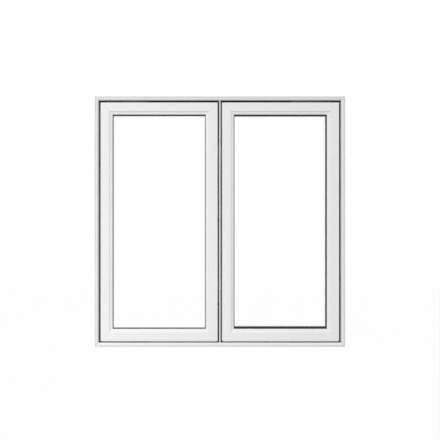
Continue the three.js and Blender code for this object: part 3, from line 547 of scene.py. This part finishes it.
def seal(name, points, section, depth, corner, body, closed=False, vinyl=None):
    """A seal along upright points (x, z) at one depth: black rubber unless a vinyl is given."""
    mesh = bpy.data.meshes.new(name)
    count = len(points)
    edges = [(i, (i + 1) % count) for i in range(count if closed else count - 1)]
    mesh.from_pydata([(x, z, 0) for x, z in points], edges, [])
    made = grow(name, SEAL_TREE, {"Half Width": section[0], "Half Depth": section[1],
                "Corner": corner, "Depth": depth, "Material": vinyl or rubber}, mesh)
    face_outwards(made.data)
    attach(made, body)
    print(name, len(made.data.polygons), "faces")


print("seal tree of", len(SEAL_TREE.nodes), "nodes")

# %% [markdown]
# ## Where things are
# The places of most of the trim come from the CAD nodes' own boxes, read from the left unit and
# mirrored for the right one. Measured numbers would have to be changed by hand each time that the
# window's size changes.

# %% Edges of the left unit
FLOOR_Z, CEILING_Z = cad_box[0][2], cad_box[1][2]
JAMB_EDGE = cad_box[0][0]
HINGE_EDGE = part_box("left_hinge_stile")[0][0]
LOCK_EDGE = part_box("left_lock_stile")[1][0]
LOW_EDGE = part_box("left_bottom_rail")[0][2]
TOP_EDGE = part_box("left_top_rail")[1][2]
STOP_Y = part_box("left_hinge_stile")[1][1] + 6 * MM  # the frame's stops, behind the sash
NOSE_WIDTH = 19.5 * MM  # the frame's outdoor face, from its edge to the gap
MULLION_NOSE = 3.4 * MM  # half of the mullion's outdoor face


def middle_of(box, axis):
    return (box[0][axis] + box[1][axis]) / 2


def mirrored(sign, points):
    """The same upright points for the other unit, which is the left one's mirror image."""
    return [(sign * x, z) for x, z in points]


def round_trip(low, high):
    """The four corners of the rectangle from low (x, z) to high (x, z)."""
    return [(low[0], low[1]), (high[0], low[1]), (high[0], high[1]), (low[0], high[1])]


HINGE_Y = middle_of(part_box("left_lower_hinge_track"), 1)  # the line that the hinge pivots share
print("sash", round((LOCK_EDGE - HINGE_EDGE) / MM), "by", round((TOP_EDGE - LOW_EDGE) / MM), "mm")

# %% [markdown]
# ## Seals on the frame
# The sash shuts against a bulb seal on the frame's stops, all the way round. In front of it the
# pocket behind the frame's nose has a second bulb along the head and the mullion and a broader one
# up the jamb, and a soft lip lines the nose's inner edge. These three outer seals are partly
# painted shade. Real frames have seals of these kinds, but these are placed and sized so that their
# black rubber fills the gap round each sash, where the deep gap's shade falls. None of the outer
# ones crosses the sill, because rain has to drain there.

# %% Seals on the frame
TOUCH = 0.1 * MM  # a seal's clearance from what it lies against
BULB = 2.8 * MM
BULB_INSET = 7.8 * MM  # from the sash's edge to the bulb's middle
BULB_CORNER = 8 * MM
POCKET_BULB = 3.5 * MM
POCKET_INSET = 17 * MM  # from the frame's edge to the pocket bulb's middle
POCKET_AT_MULLION = -6.6 * MM
POCKET_FOOT = 14 * MM
POCKET_CORNER = 6 * MM
JAMB_SEAL = (3.1 * MM, 4 * MM)
JAMB_SEAL_X = JAMB_EDGE + 16.4 * MM
JAMB_SEAL_END = 30 * MM  # clears the hinge track
LIP = (0.9 * MM, 5 * MM)
LIP_Y = OUTDOOR_Y + 9.4 * MM
LIP_AT_MULLION = 0.7 * MM - MULLION_NOSE
SMALL_CORNER = 0.4 * MM

for side, sign in SIDES.items():
    ring = round_trip((HINGE_EDGE + BULB_INSET, LOW_EDGE + BULB_INSET),
                      (LOCK_EDGE - BULB_INSET, TOP_EDGE - BULB_INSET))
    seal(side + "_weatherstrip", mirrored(sign, ring), (BULB, BULB), STOP_Y - BULB - TOUCH,
         BULB_CORNER, "frame", closed=True)
    # painted shade: the pocket bulb, jamb seal and nose lip below are black rubber set to fill the
    # shade in the gaps
    arch = [(JAMB_EDGE + POCKET_INSET, CEILING_Z - POCKET_INSET),
            (POCKET_AT_MULLION, CEILING_Z - POCKET_INSET),
            (POCKET_AT_MULLION, FLOOR_Z + POCKET_FOOT)]
    seal(side + "_pocket_seal", mirrored(sign, arch), (POCKET_BULB, POCKET_BULB),
         STOP_Y - POCKET_BULB - TOUCH, POCKET_CORNER, "frame")
    upright = [(JAMB_SEAL_X, FLOOR_Z + JAMB_SEAL_END), (JAMB_SEAL_X, CEILING_Z - JAMB_SEAL_END)]
    seal(side + "_jamb_seal", mirrored(sign, upright), JAMB_SEAL, HINGE_Y, SMALL_CORNER, "frame")
    lip_x, lip_z = JAMB_EDGE + NOSE_WIDTH - LIP[0], CEILING_Z - NOSE_WIDTH + TOUCH
    arch = [(lip_x, FLOOR_Z + NOSE_WIDTH), (lip_x, lip_z), (LIP_AT_MULLION, lip_z),
            (LIP_AT_MULLION, FLOOR_Z + NOSE_WIDTH)]
    seal(side + "_nose_lip", mirrored(sign, arch), LIP, LIP_Y, SMALL_CORNER, "frame")

# %% [markdown]
# ## Seals on the sash
# A low vinyl lip under the bottom rail throws rain clear of the sill, and its white edge is what
# makes the bottom gap paler than the others. Indoors a thin gasket seals the glass to its bead.
# Both travel with the sash, so both ride on its body: on the frame they would be left behind.

# %% Seals on the sash
DRIP = (1.6 * MM, 1.1 * MM)
DRIP_END = 3 * MM  # from the lip's end to the sash's edge
DRIP_ROOT = 0.2 * MM  # how far the lip is rooted in the rail
DRIP_Y = OUTDOOR_Y + 7.0 * MM
GASKET = (2.0 * MM, 0.95 * MM)
GASKET_SHOWS = 0.9 * MM  # how much of its width shows past the sash
GASKET_Y = OUTDOOR_Y + 37.1 * MM
GASKET_CORNER = 2 * MM

for side, sign in SIDES.items():
    drip_z = LOW_EDGE + DRIP_ROOT - DRIP[0]
    drip = [(HINGE_EDGE + DRIP_END, drip_z), (LOCK_EDGE - DRIP_END, drip_z)]
    seal(side + "_drip_lip", mirrored(sign, drip), DRIP, DRIP_Y, SMALL_CORNER, side + "_sash",
         vinyl=sash_level)
    inset = GASKET_SHOWS - GASKET[0]
    ring = round_trip((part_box("left_hinge_stile")[1][0] + inset,
                       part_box("left_bottom_rail")[1][2] + inset),
                      (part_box("left_lock_stile")[0][0] - inset,
                       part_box("left_top_rail")[0][2] - inset))
    seal(side + "_inner_gasket", mirrored(sign, ring), GASKET, GASKET_Y, GASKET_CORNER,
         side + "_sash", closed=True)

# %% [markdown]
# ## Glazing tape, partly painted shadow
# Outdoors the glass is bedded against the vinyl leg on black rubber tape, which shows as a dark
# line round the glass. Its widths are uneven, and each side of each sash shows its own. The wide
# ones at the top are partly painted shadow: they stand in for the shadow that the leg casts on the
# glass from above. A swept section can't change its width, so this ring is made directly: one
# rounded section at each mitred corner.

# %% Glazing tape
# widths of black tape and painted shadow: the wide top ones stand in partly for the leg's shadow
TAPE_AND_SHADOW_WIDTHS = {  # on each sash's left, right, bottom and top, as seen from outdoors
    "left": (4.8 * MM, 0.3 * MM, 0.3 * MM, 7.6 * MM),
    "right": (3.8 * MM, 1.4 * MM, 12.0 * MM, 9.2 * MM),
}
STILES = {"left": ("_hinge_stile", "_lock_stile"), "right": ("_lock_stile", "_hinge_stile")}
TAPE_FRONT, TAPE_BACK = OUTDOOR_Y + 12.2 * MM, OUTDOOR_Y + 13.95 * MM
TAPE_HIDDEN = 2 * MM  # width tucked behind the leg
TAPE_ROUND = 0.6 * MM
TAPE_SECTION = [  # share of the width that shows, extra distance inwards, and depth
    (0, -TAPE_HIDDEN, TAPE_BACK), (0, -TAPE_HIDDEN, TAPE_FRONT), (1, -TAPE_ROUND, TAPE_FRONT),
    (1, -0.2 * TAPE_ROUND, TAPE_FRONT + 0.3 * TAPE_ROUND), (1, 0, TAPE_FRONT + TAPE_ROUND),
    (1, 0, TAPE_BACK),
]


def mitred_ring(name, low, high, shows, section):
    """One section at each corner of the rectangle low-high, joined along the four sides."""
    left, right, bottom, top = shows
    vertices = []
    for x_edge, x_show, x_way in ((low[0], left, 1), (high[0], right, -1)):
        for z_edge, z_show, z_way in ((low[1], bottom, 1), (high[1], top, -1)):
            vertices += [(x_edge + x_way * (share * x_show + extra), y,
                          z_edge + z_way * (share * z_show + extra))
                         for share, extra, y in section]
    count = len(section)
    corners = (0, 2, 3, 1)  # in order round the ring
    faces = []
    for this, following in zip(corners, corners[1:] + corners[:1]):
        a, b = this * count, following * count
        for i in range(count):
            j = (i + 1) % count
            faces.append((a + i, b + i, b + j, a + j))
    mesh = bpy.data.meshes.new(name)
    mesh.from_pydata(vertices, [], faces)
    face_outwards(mesh)
    return new_object(name, mesh)


for side, (left_stile, right_stile) in STILES.items():
    low = (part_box(side + left_stile)[1][0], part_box(side + "_bottom_rail")[1][2])
    high = (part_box(side + right_stile)[0][0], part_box(side + "_top_rail")[0][2])
    tape = mitred_ring(side + "_glazing_tape", low, high, TAPE_AND_SHADOW_WIDTHS[side], TAPE_SECTION)
    tape.data.materials.append(rubber)
    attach(tape, side + "_sash")
print("tape on", list(TAPE_AND_SHADOW_WIDTHS))

# %% [markdown]
# ## Lofted and turned shapes
# The crank handle and the lock lever are castings with soft, changing sections. Sculpting or
# merging simple solids would leave lumps where they meet. A loft joins a row of closed rings
# instead, which gives full control of the width along the way, and a turned shape is a loft of
# circles. Both close their ends, and a Subdivision Surface smooths them.

# %% Loft helpers


def closed_mesh(name, rings, place=None):
    """One closed mesh through rings of equal count, then moved by the matrix place."""
    work = bmesh.new()
    rows = [[work.verts.new(point) for point in ring] for ring in rings]
    count = len(rows[0])
    for a, b in zip(rows, rows[1:]):
        for i in range(count):
            j = (i + 1) % count
            work.faces.new((a[i], a[j], b[j], b[i]))
    work.faces.new(rows[0])
    work.faces.new(rows[-1])
    bmesh.ops.recalc_face_normals(work, faces=work.faces)
    if place is not None:
        bmesh.ops.transform(work, matrix=place, verts=work.verts)
    mesh = bpy.data.meshes.new(name)
    work.to_mesh(mesh)
    work.free()
    return mesh


def loft(name, rings, material, body, place=None, levels=1):
    mesh = closed_mesh(name, rings, place)
    mesh.polygons.foreach_set("use_smooth", [True] * len(mesh.polygons))
    mesh.materials.append(material)
    made = new_object(name, mesh)
    if levels:
        smooth = made.modifiers.new("smooth", "SUBSURF")
        smooth.levels = smooth.render_levels = levels
    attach(made, body)
    return made


def oval(centre, across, up, half_across, half_up, squareness=0.5, count=16):
    """A ring about centre, between an ellipse (squareness 1) and a rounded box (towards 0)."""
    points = []
    for i in range(count):
        angle = 2 * math.pi * i / count
        c, s = math.cos(angle), math.sin(angle)
        u = half_across * math.copysign(abs(c) ** squareness, c)
        v = half_up * math.copysign(abs(s) ** squareness, s)
        points.append(centre + across * u + up * v)
    return points


def turned_rings(profile, foot, count=20):
    """Circles about the local Z axis: profile is (radius, height) in mm from the foot up."""
    across, up = Vector((1, 0, 0)), Vector((0, 1, 0))
    return [oval(foot + Vector((0, 0, height * MM)), across, up, radius * MM, radius * MM, 1,
                 count) for radius, height in profile]


print("loft helpers ready")

# %% [markdown]
# ## Crank handle
# Indoors, at the sill, a crank turns each operator. It is a zinc casting with baked white enamel.
# It has a hub that sleeves over the splined shaft, an arm that hangs down the casting's slope, and
# a knob at the arm's end. On a real crank the knob spins, but here it rides with the rest on the
# crank's one body. Its three pieces stand on the shaft's own axis, which leans 35 degrees into the
# room. Drawing them along that slope would be awkward, so they are drawn upright about the axis and
# then leaned together.

# %% Crank handles
SHAFT_LEAN = math.radians(35)
SHAFT_FOOT = (289.0 * MM, 24.7 * MM, 29.85 * MM)  # the worm's middle, for the right unit
CRANK_REACH = 55 * MM  # from the shaft's axis to the knob's
HUB_START, HUB_END = 25.8 * MM, 37.8 * MM  # along the shaft, from the worm's middle
HUB = [(6.6, 0), (7.8, 0.5), (8, 1.4), (8, 9.6), (7.6, 11.2), (6.2, 12)]  # radius, height
KNOB_SINK = 1 * MM  # how far the knob's foot is let into the arm
KNOB = [(4.2, 0), (4.6, 0.6), (4.6, 3.4), (4.1, 4.4), (4.9, 6), (7.0, 8.6), (8.0, 11.5),
        (8.0, 14.6), (7.3, 17.6), (5.4, 19.4), (2.6, 20)]
ARM_RINGS = 13
ARM_HALF = 3 * MM  # half of the arm's thickness
ARM_FIRST, ARM_LENGTH = -5.6 * MM, CRANK_REACH + 10.6 * MM
ARM_WIDTH, ARM_WAIST, ARM_TAPER = 7.0, 2.4, 0.6  # half widths in mm


def arm_half_width(t):
    """Half of the arm's width at t, from 0 at the hub to 1 at the knob; the waist ends at 0.8."""
    half = ARM_WIDTH - ARM_WAIST * math.sin(math.pi * min(1.0, 1.25 * t)) - ARM_TAPER * t
    end = 1 - min(1.0, 6 * min(t + 0.03, 1.03 - t))  # above 0 only near both ends
    return half * MM * math.sqrt(1 - 0.75 * end)


for side, sign in SIDES.items():
    place = (Matrix.Translation((-sign * SHAFT_FOOT[0], *SHAFT_FOOT[1:]))
             @ Matrix.Rotation(-SHAFT_LEAN, 4, "X"))
    body = side + "_crank"
    loft(side + "_crank_hub", turned_rings(HUB, Vector((0, 0, HUB_START))), enamel, body,
         place)
    knob_foot = Vector((0, CRANK_REACH, HUB_END - KNOB_SINK))
    loft(side + "_crank_knob", turned_rings(KNOB, knob_foot), enamel, body,
         place)
    rings = []
    for step in range(ARM_RINGS):
        t = step / (ARM_RINGS - 1)
        centre = Vector((0, ARM_FIRST + t * ARM_LENGTH, HUB_END - ARM_HALF))
        rings.append(oval(centre, Vector((1, 0, 0)), Vector((0, 0, 1)), arm_half_width(t),
                          ARM_HALF, 0.55))
    arm = loft(side + "_crank_arm", rings, enamel, body, place)
    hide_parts(side + "_crank_handle")
print("cranks reach", round(CRANK_REACH / MM), "mm")

# %% [markdown]
# ## Lock lever
# Each sash has a lever on the mullion, indoors, enamelled like the crank. It turns on a stub
# inside the escutcheon, and its grip leans into the room when unlocked. A bent bar of one width
# would look like wire, so one loft follows the lever from hub to tip, narrow where it passes the
# escutcheon's slot and wider at the grip.

# %% Lock lever grips
LEVER_PIVOT = Vector((0, 46.7, 430)) * MM
LEVER_MIDDLE_X = 11.5 * MM
LEVER_PATH = [  # y, z, half width across the grip and half thickness, in mm from the pivot
    (0, -6.3, 2.2, 2.4), (0, -5.2, 4.8, 2.9), (0, -1.5, 6.2, 3.05), (0, 3, 6.0, 3.05),
    (0, 8, 5.0, 3.0), (0.8, 13.0, 4.7, 3.0), (3.6, 18.6, 4.8, 3.05), (9, 28, 5.1, 3.1),
    (16, 40.4, 5.7, 3.1), (23, 52.6, 6.3, 3.1), (28.4, 62, 6.4, 3.05), (31.6, 67.6, 5.4, 2.8),
    (33.2, 70.2, 3.0, 1.9),
]


def lever_rings(sign):
    points = [LEVER_PIVOT + Vector((-sign * LEVER_MIDDLE_X, y * MM, z * MM))
              for y, z, _, _ in LEVER_PATH]
    rings = []
    for i, (_, _, half, thick) in enumerate(LEVER_PATH):
        ahead = points[min(i + 1, len(points) - 1)] - points[max(i - 1, 0)]
        across = Vector((0, ahead.z, -ahead.y)).normalized()
        rings.append(oval(points[i], across, Vector((1, 0, 0)), half * MM, thick * MM, 0.6))
    return rings


for side, sign in SIDES.items():
    grip = loft(side + "_lock_grip", lever_rings(sign), enamel, side + "_lock_lever")
    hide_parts(side + "_lock_lever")
print("levers stand", round(LEVER_PATH[-1][1]), "mm above their pivots")

# %% [markdown]
# ## Inner crank and pin
# Behind each lever a short zinc plated strap with a pin slides the tie bar. It is hidden in the
# mullion, except through the slot when the lever is down. Its outline is two half circles joined
# by straight sides, stacked four times with the outer two drawn in a little, which eases its
# edges without a modifier.

# %% Inner cranks and pins
CRANK_PIN = Vector((0, 42.7, 419.0)) * MM
INNER_CRANK = (8.9 * MM, 5.6 * MM)  # from and to, out from the window's middle
STRAP_RADIUS = (5 * MM, 3.2 * MM)  # at the pivot and at the pin
PIN_REACH = (7.4 * MM, 2.95 * MM)
PIN_RADIUS = 2 * MM
EASE = 0.3 * MM
STRAP_END_POINTS = 9


def strap_ring(x, a, b, radius_a, radius_b):
    """The outline of a strap from a to b in the upright plane at x."""
    way = (b - a).normalized()
    side_way = Vector((0, -way.z, way.y))
    points = []
    for centre, radius, start in ((a, radius_a, 1), (b, radius_b, -1)):
        for i in range(STRAP_END_POINTS):
            angle = math.pi * i / (STRAP_END_POINTS - 1)
            points.append(centre + side_way * (start * radius * math.cos(angle))
                          - way * (start * radius * math.sin(angle)))
    return [Vector((x, point.y, point.z)) for point in points]


for side, sign in SIDES.items():
    body = side + "_lock_lever"
    rows = [strap_ring(-sign * x, LEVER_PIVOT, CRANK_PIN, STRAP_RADIUS[0] - inset,
                       STRAP_RADIUS[1] - inset)
            for x, inset in ((INNER_CRANK[0], EASE), (INNER_CRANK[0] - EASE, 0),
                             (INNER_CRANK[1] + EASE, 0), (INNER_CRANK[1], EASE))]
    loft(side + "_lock_inner_crank", rows, zinc, body, levels=0)
    rows = [oval(CRANK_PIN + Vector((-sign * x, 0, 0)), Vector((0, 1, 0)), Vector((0, 0, 1)),
                 radius, radius, 1)
            for x, radius in ((PIN_REACH[0], PIN_RADIUS), (PIN_REACH[1] + EASE, PIN_RADIUS),
                              (PIN_REACH[1], PIN_RADIUS - EASE))]
    loft(side + "_lock_pin", rows, zinc, body, levels=0)
print("pins", round(PIN_RADIUS / MM), "mm in radius")

# %% [markdown]
# ## Screw and pivot heads
# Small fixings hold all the hardware: flush screws in the hinge tracks and arms, pan heads on the
# operator's flange and the lock's escutcheon, and peened pivot ends on the hinges. Cutting the
# cross out of a dome with a boolean would leave long thin faces. So a head is built from rings of
# points, and the cross is where the inner rings are let down.

# %% Heads
QUARTER = (0, 14, 45, 76)  # degrees, so that the cross's arms have straight sides
RING_SHARES = (0.16, 0.34, 0.6, 0.85, 1.0)  # of the head's radius
CROSS_FLOOR, CROSS_REACH = 0.2, 0.5  # shares of the radius: all let down, and how far the arms go
DOME = 0.55  # how much lower the rim is than the middle, as a share of the height


def screw_head(name, radius, height, recess=0):
    """A domed head, with a cross let in where recess is its depth; it faces +Z."""
    angles = [math.radians(quarter * 90 + a) for quarter in range(4) for a in QUARTER]
    rings = []
    for share in RING_SHARES:
        ring = []
        for i, angle in enumerate(angles):
            in_cross = share < CROSS_FLOOR or (share < CROSS_REACH and i % 4 != 2)
            z = height * (1 - DOME * share ** 3) - (recess if in_cross else 0)
            ring.append((radius * share * math.cos(angle), radius * share * math.sin(angle), z))
        rings.append(ring)
    rings.append([(x, y, 0) for x, y, _ in rings[-1]])
    return bpy.data.objects.new(name, closed_mesh(name, rings))


FLUSH = screw_head("flush screw", 3.0 * MM, 0.22 * MM, 0.5 * MM)
PAN = screw_head("pan head screw", 3.0 * MM, 1.3 * MM, 0.8 * MM)
SMALL_PAN = screw_head("small pan head screw", 2.2 * MM, 0.9 * MM, 0.6 * MM)
PEENED = screw_head("peened pivot", 3.4 * MM, 0.25 * MM)
print("a head has", len(PAN.data.polygons), "faces")

# %% [markdown]
# ## A tree that places heads
# Copying heads by hand would take a line for each of some sixty. One tree puts a head on every
# point of a carrier instead, faces it along the point's own direction and turns it by a random
# angle from a fixed seed, as hand-driven screws are.

# %% Heads on points
TURN_SEED = 7


def fixing_tree():
    tree, given = new_tree("heads on points", (("Head", "Object"), ("Seed", "Int"),
                           ("Material", "Material")))
    head = add(tree, "GeometryNodeObjectInfo", links={"Object": (given, "Head")})
    facing = add(tree, "GeometryNodeInputNamedAttribute", inputs={"Name": "facing"},
                 data_type="FLOAT_VECTOR")
    aim = add(tree, "FunctionNodeAlignRotationToVector", axis="Z",
              links={"Vector": (facing, "Attribute")})
    placed = add(tree, "GeometryNodeInstanceOnPoints",
                 links={"Points": (given, "Geometry"), "Instance": (head, "Geometry"),
                        "Rotation": (aim, "Rotation")})
    # Inputs 2 and 3 are this node's least and greatest number; a cross looks alike each quarter.
    chance = add(tree, "FunctionNodeRandomValue", data_type="FLOAT", inputs={3: math.pi / 2},
                 links={"Seed": (given, "Seed")})
    spin = add(tree, "ShaderNodeCombineXYZ", links={"Z": (chance, 1)})
    turned = add(tree, "GeometryNodeRotateInstances",
                 links={"Instances": (placed, 0), "Rotation": (spin, 0)})
    return end_tree(tree, turned, given)


FIXING_TREE = fixing_tree()


def fixings(name, head, spots, material, body):
    """Heads at (x, y, z, facing) spots, all on one body."""
    mesh = bpy.data.meshes.new(name)
    mesh.from_pydata([spot[:3] for spot in spots], [], [])
    facing = mesh.attributes.new("facing", "FLOAT_VECTOR", "POINT")
    facing.data.foreach_set("vector", [value for spot in spots for value in spot[3]])
    made = grow(name, FIXING_TREE, {"Head": head, "Seed": TURN_SEED, "Material": material}, mesh,
                smooth=False)
    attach(made, body)
    print(name, len(spots))


print("fixing tree of", len(FIXING_TREE.nodes), "nodes")

# %% [markdown]
# ## Hinge fixings
# Each concealed hinge has a track screwed to the frame, a support arm on a peened pivot and an
# arm screwed under the sash. Every spot comes from the box of the piece that it holds, so the
# fixings follow the hardware. The upper hinge is the lower one upside down, so its spots are the
# lower ones flipped about the window's middle height.

# %% Hinge fixings
UP, DOWN, INDOORS = (0, 0, 1), (0, 0, -1), (0, 1, 0)
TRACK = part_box("left_lower_hinge_track")
SASH_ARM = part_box("left_lower_sash_arm")
SUPPORT_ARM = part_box("left_lower_support_arm")
TRACK_BASE = 1.5 * MM  # thickness of the track's floor
TRACK_SCREWS = (0.06, 0.3, 0.55, 0.8)  # shares of the track's length
ARM_SCREWS = (38 * MM, 135 * MM, 175 * MM)  # from the sash arm's end
PIVOT_INSET = 7.5 * MM  # from the support arm's end to its pivot
PIVOT_TOP = 2.3 * MM  # above the support arm's underside


def at_both_hinges(sign, spots):
    """Spots at the lower hinge, and the same ones turned upside down at the head."""
    upper = [(x, y, FLOOR_Z + CEILING_Z - z, tuple(-v for v in facing))
             for x, y, z, facing in spots]
    return [(sign * x, y, z, facing) for x, y, z, facing in spots + upper]


for side, sign in SIDES.items():
    in_track = [(TRACK[0][0] + share * (TRACK[1][0] - TRACK[0][0]), HINGE_Y,
                 TRACK[0][2] + TRACK_BASE, UP) for share in TRACK_SCREWS]
    fixings(side + "_track_screws", FLUSH, at_both_hinges(sign, in_track), stainless, "frame")
    peened = [(SUPPORT_ARM[1][0] - PIVOT_INSET, HINGE_Y, SUPPORT_ARM[0][2] + PIVOT_TOP, UP)]
    fixings(side + "_hinge_pivots", PEENED, at_both_hinges(sign, peened), stainless, "frame")
    in_arm = [(SASH_ARM[0][0] + reach, HINGE_Y, SASH_ARM[0][2], DOWN) for reach in ARM_SCREWS]
    fixings(side + "_sash_arm_screws", FLUSH, at_both_hinges(sign, in_arm), stainless,
            side + "_sash")

# %% [markdown]
# ## Fixings on the sash
# The bracket that the operator pulls is screwed up into the bottom rail, and the two keepers
# that the tie bar's rollers catch are screwed to the lock stile. They are one carrier, because
# they ride together, so one mesh holds all six heads of a sash.

# %% Fixings on the sash
BRACKET_SCREWS = (-16 * MM, 16 * MM)  # from the bracket's middle
KEEPER_PLATE = 2.6 * MM  # how far the keeper's plate stands off the stile's edge
KEEPER_SCREW_INSET = 5 * MM  # from the keeper's ends

for side, sign in SIDES.items():
    bracket_x = middle_of(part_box("left_sash_bracket"), 0)
    spots = [(sign * (bracket_x + reach), HINGE_Y, SASH_ARM[0][2], DOWN)
             for reach in BRACKET_SCREWS]
    for keeper in (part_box("left_lower_keeper"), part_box("left_upper_keeper")):
        spots += [(sign * (keeper[0][0] + KEEPER_PLATE), HINGE_Y, z, (sign, 0, 0))
                  for z in (keeper[0][2] + KEEPER_SCREW_INSET, keeper[1][2] - KEEPER_SCREW_INSET)]
    fixings(side + "_sash_fitting_screws", SMALL_PAN, spots, zinc, side + "_sash")

# %% [markdown]
# ## Fixings on the room side
# The operator's casting is held to the sill by four pan heads through its flange, and the lock's
# escutcheon to the mullion by two small ones. These are the screws that a person in the room
# sees, so they stand proud as real ones do, where the hinge's are flush to let the arms pass.

# %% Fixings on the room side
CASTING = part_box("left_operator_housing")
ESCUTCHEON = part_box("left_lock_housing")
FLANGE_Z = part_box("sill")[1][2] + 3.3 * MM  # the top of the casting's flange
FLANGE_INSET = 9 * MM  # from the flange's ends
FLANGE_ROWS = (18.6 * MM, 33.4 * MM)  # depths of the two rows
ESCUTCHEON_SCREW_X = 4.4 * MM
ESCUTCHEON_SCREW_RISE = 34 * MM  # above and below its middle

for side, sign in SIDES.items():
    on_flange = [(sign * x, y, FLANGE_Z, UP)
                 for x in (CASTING[0][0] + FLANGE_INSET, CASTING[1][0] - FLANGE_INSET)
                 for y in FLANGE_ROWS]
    fixings(side + "_operator_screws", PAN, on_flange, stainless, "frame")
    on_plate = [(-sign * ESCUTCHEON_SCREW_X, ESCUTCHEON[1][1],
                 middle_of(ESCUTCHEON, 2) + rise, INDOORS)
                for rise in (-ESCUTCHEON_SCREW_RISE, ESCUTCHEON_SCREW_RISE)]
    fixings(side + "_lock_screws", SMALL_PAN, on_plate, stainless, "frame")

# %% [markdown]
# ## Tie bar guides
# The tie bar slides up and down the mullion's web in three moulded nylon guides. Each is a
# shallow channel clipped round the bar, with its two feet on the web. A box with a hole would
# need a boolean, while a channel has one section all the way, so that section is drawn once and
# lofted upwards, with its outer wall drawn in a little at both ends.

# %% Tie bar guides
GUIDE_HEIGHTS = (205 * MM, 620 * MM, 1008 * MM)
GUIDE_HALF = 8 * MM
GUIDE_EASE = 0.6 * MM
GUIDE_END = 0.94  # how much of the outer wall's reach is left at the ends
GUIDE_FOOT = 2.9  # mm out from the window's middle, on the web
GUIDE_SECTION = [  # mm out from the window's middle, and depth from the tie bar's middle
    (GUIDE_FOOT, -9.6), (5.0, -9.6), (6.3, -8.4), (6.3, 8.4), (5.0, 9.6), (GUIDE_FOOT, 9.6),
    (GUIDE_FOOT, 7.5), (5.0, 7.5), (5.0, -7.5), (GUIDE_FOOT, -7.5),
]
OUTER_WALL = 5.5  # what is farther out than this is drawn in at the ends
BAR_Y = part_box("left_tie_bar")[0][1] + 7 * MM  # the bar's middle


def guide_ring(sign, z, reach):
    points = []
    for x, y in GUIDE_SECTION:
        out = GUIDE_FOOT + (x - GUIDE_FOOT) * (reach if x > OUTER_WALL else 1)
        points.append(Vector((-sign * out * MM, BAR_Y + y * MM, z)))
    return points


for side, sign in SIDES.items():
    for number, height in enumerate(GUIDE_HEIGHTS, 1):
        rings = [guide_ring(sign, height + rise, reach)
                 for rise, reach in ((-GUIDE_HALF, GUIDE_END), (-GUIDE_HALF + GUIDE_EASE, 1),
                                     (GUIDE_HALF - GUIDE_EASE, 1), (GUIDE_HALF, GUIDE_END))]
        guide = loft("%s_tie_bar_guide_%d" % (side, number), rings, nylon, "frame",
                     levels=0)
        guide.data.polygons.foreach_set("use_smooth", [False] * len(guide.data.polygons))
print("tie bar guides at", [round(z / MM) for z in GUIDE_HEIGHTS], "mm")
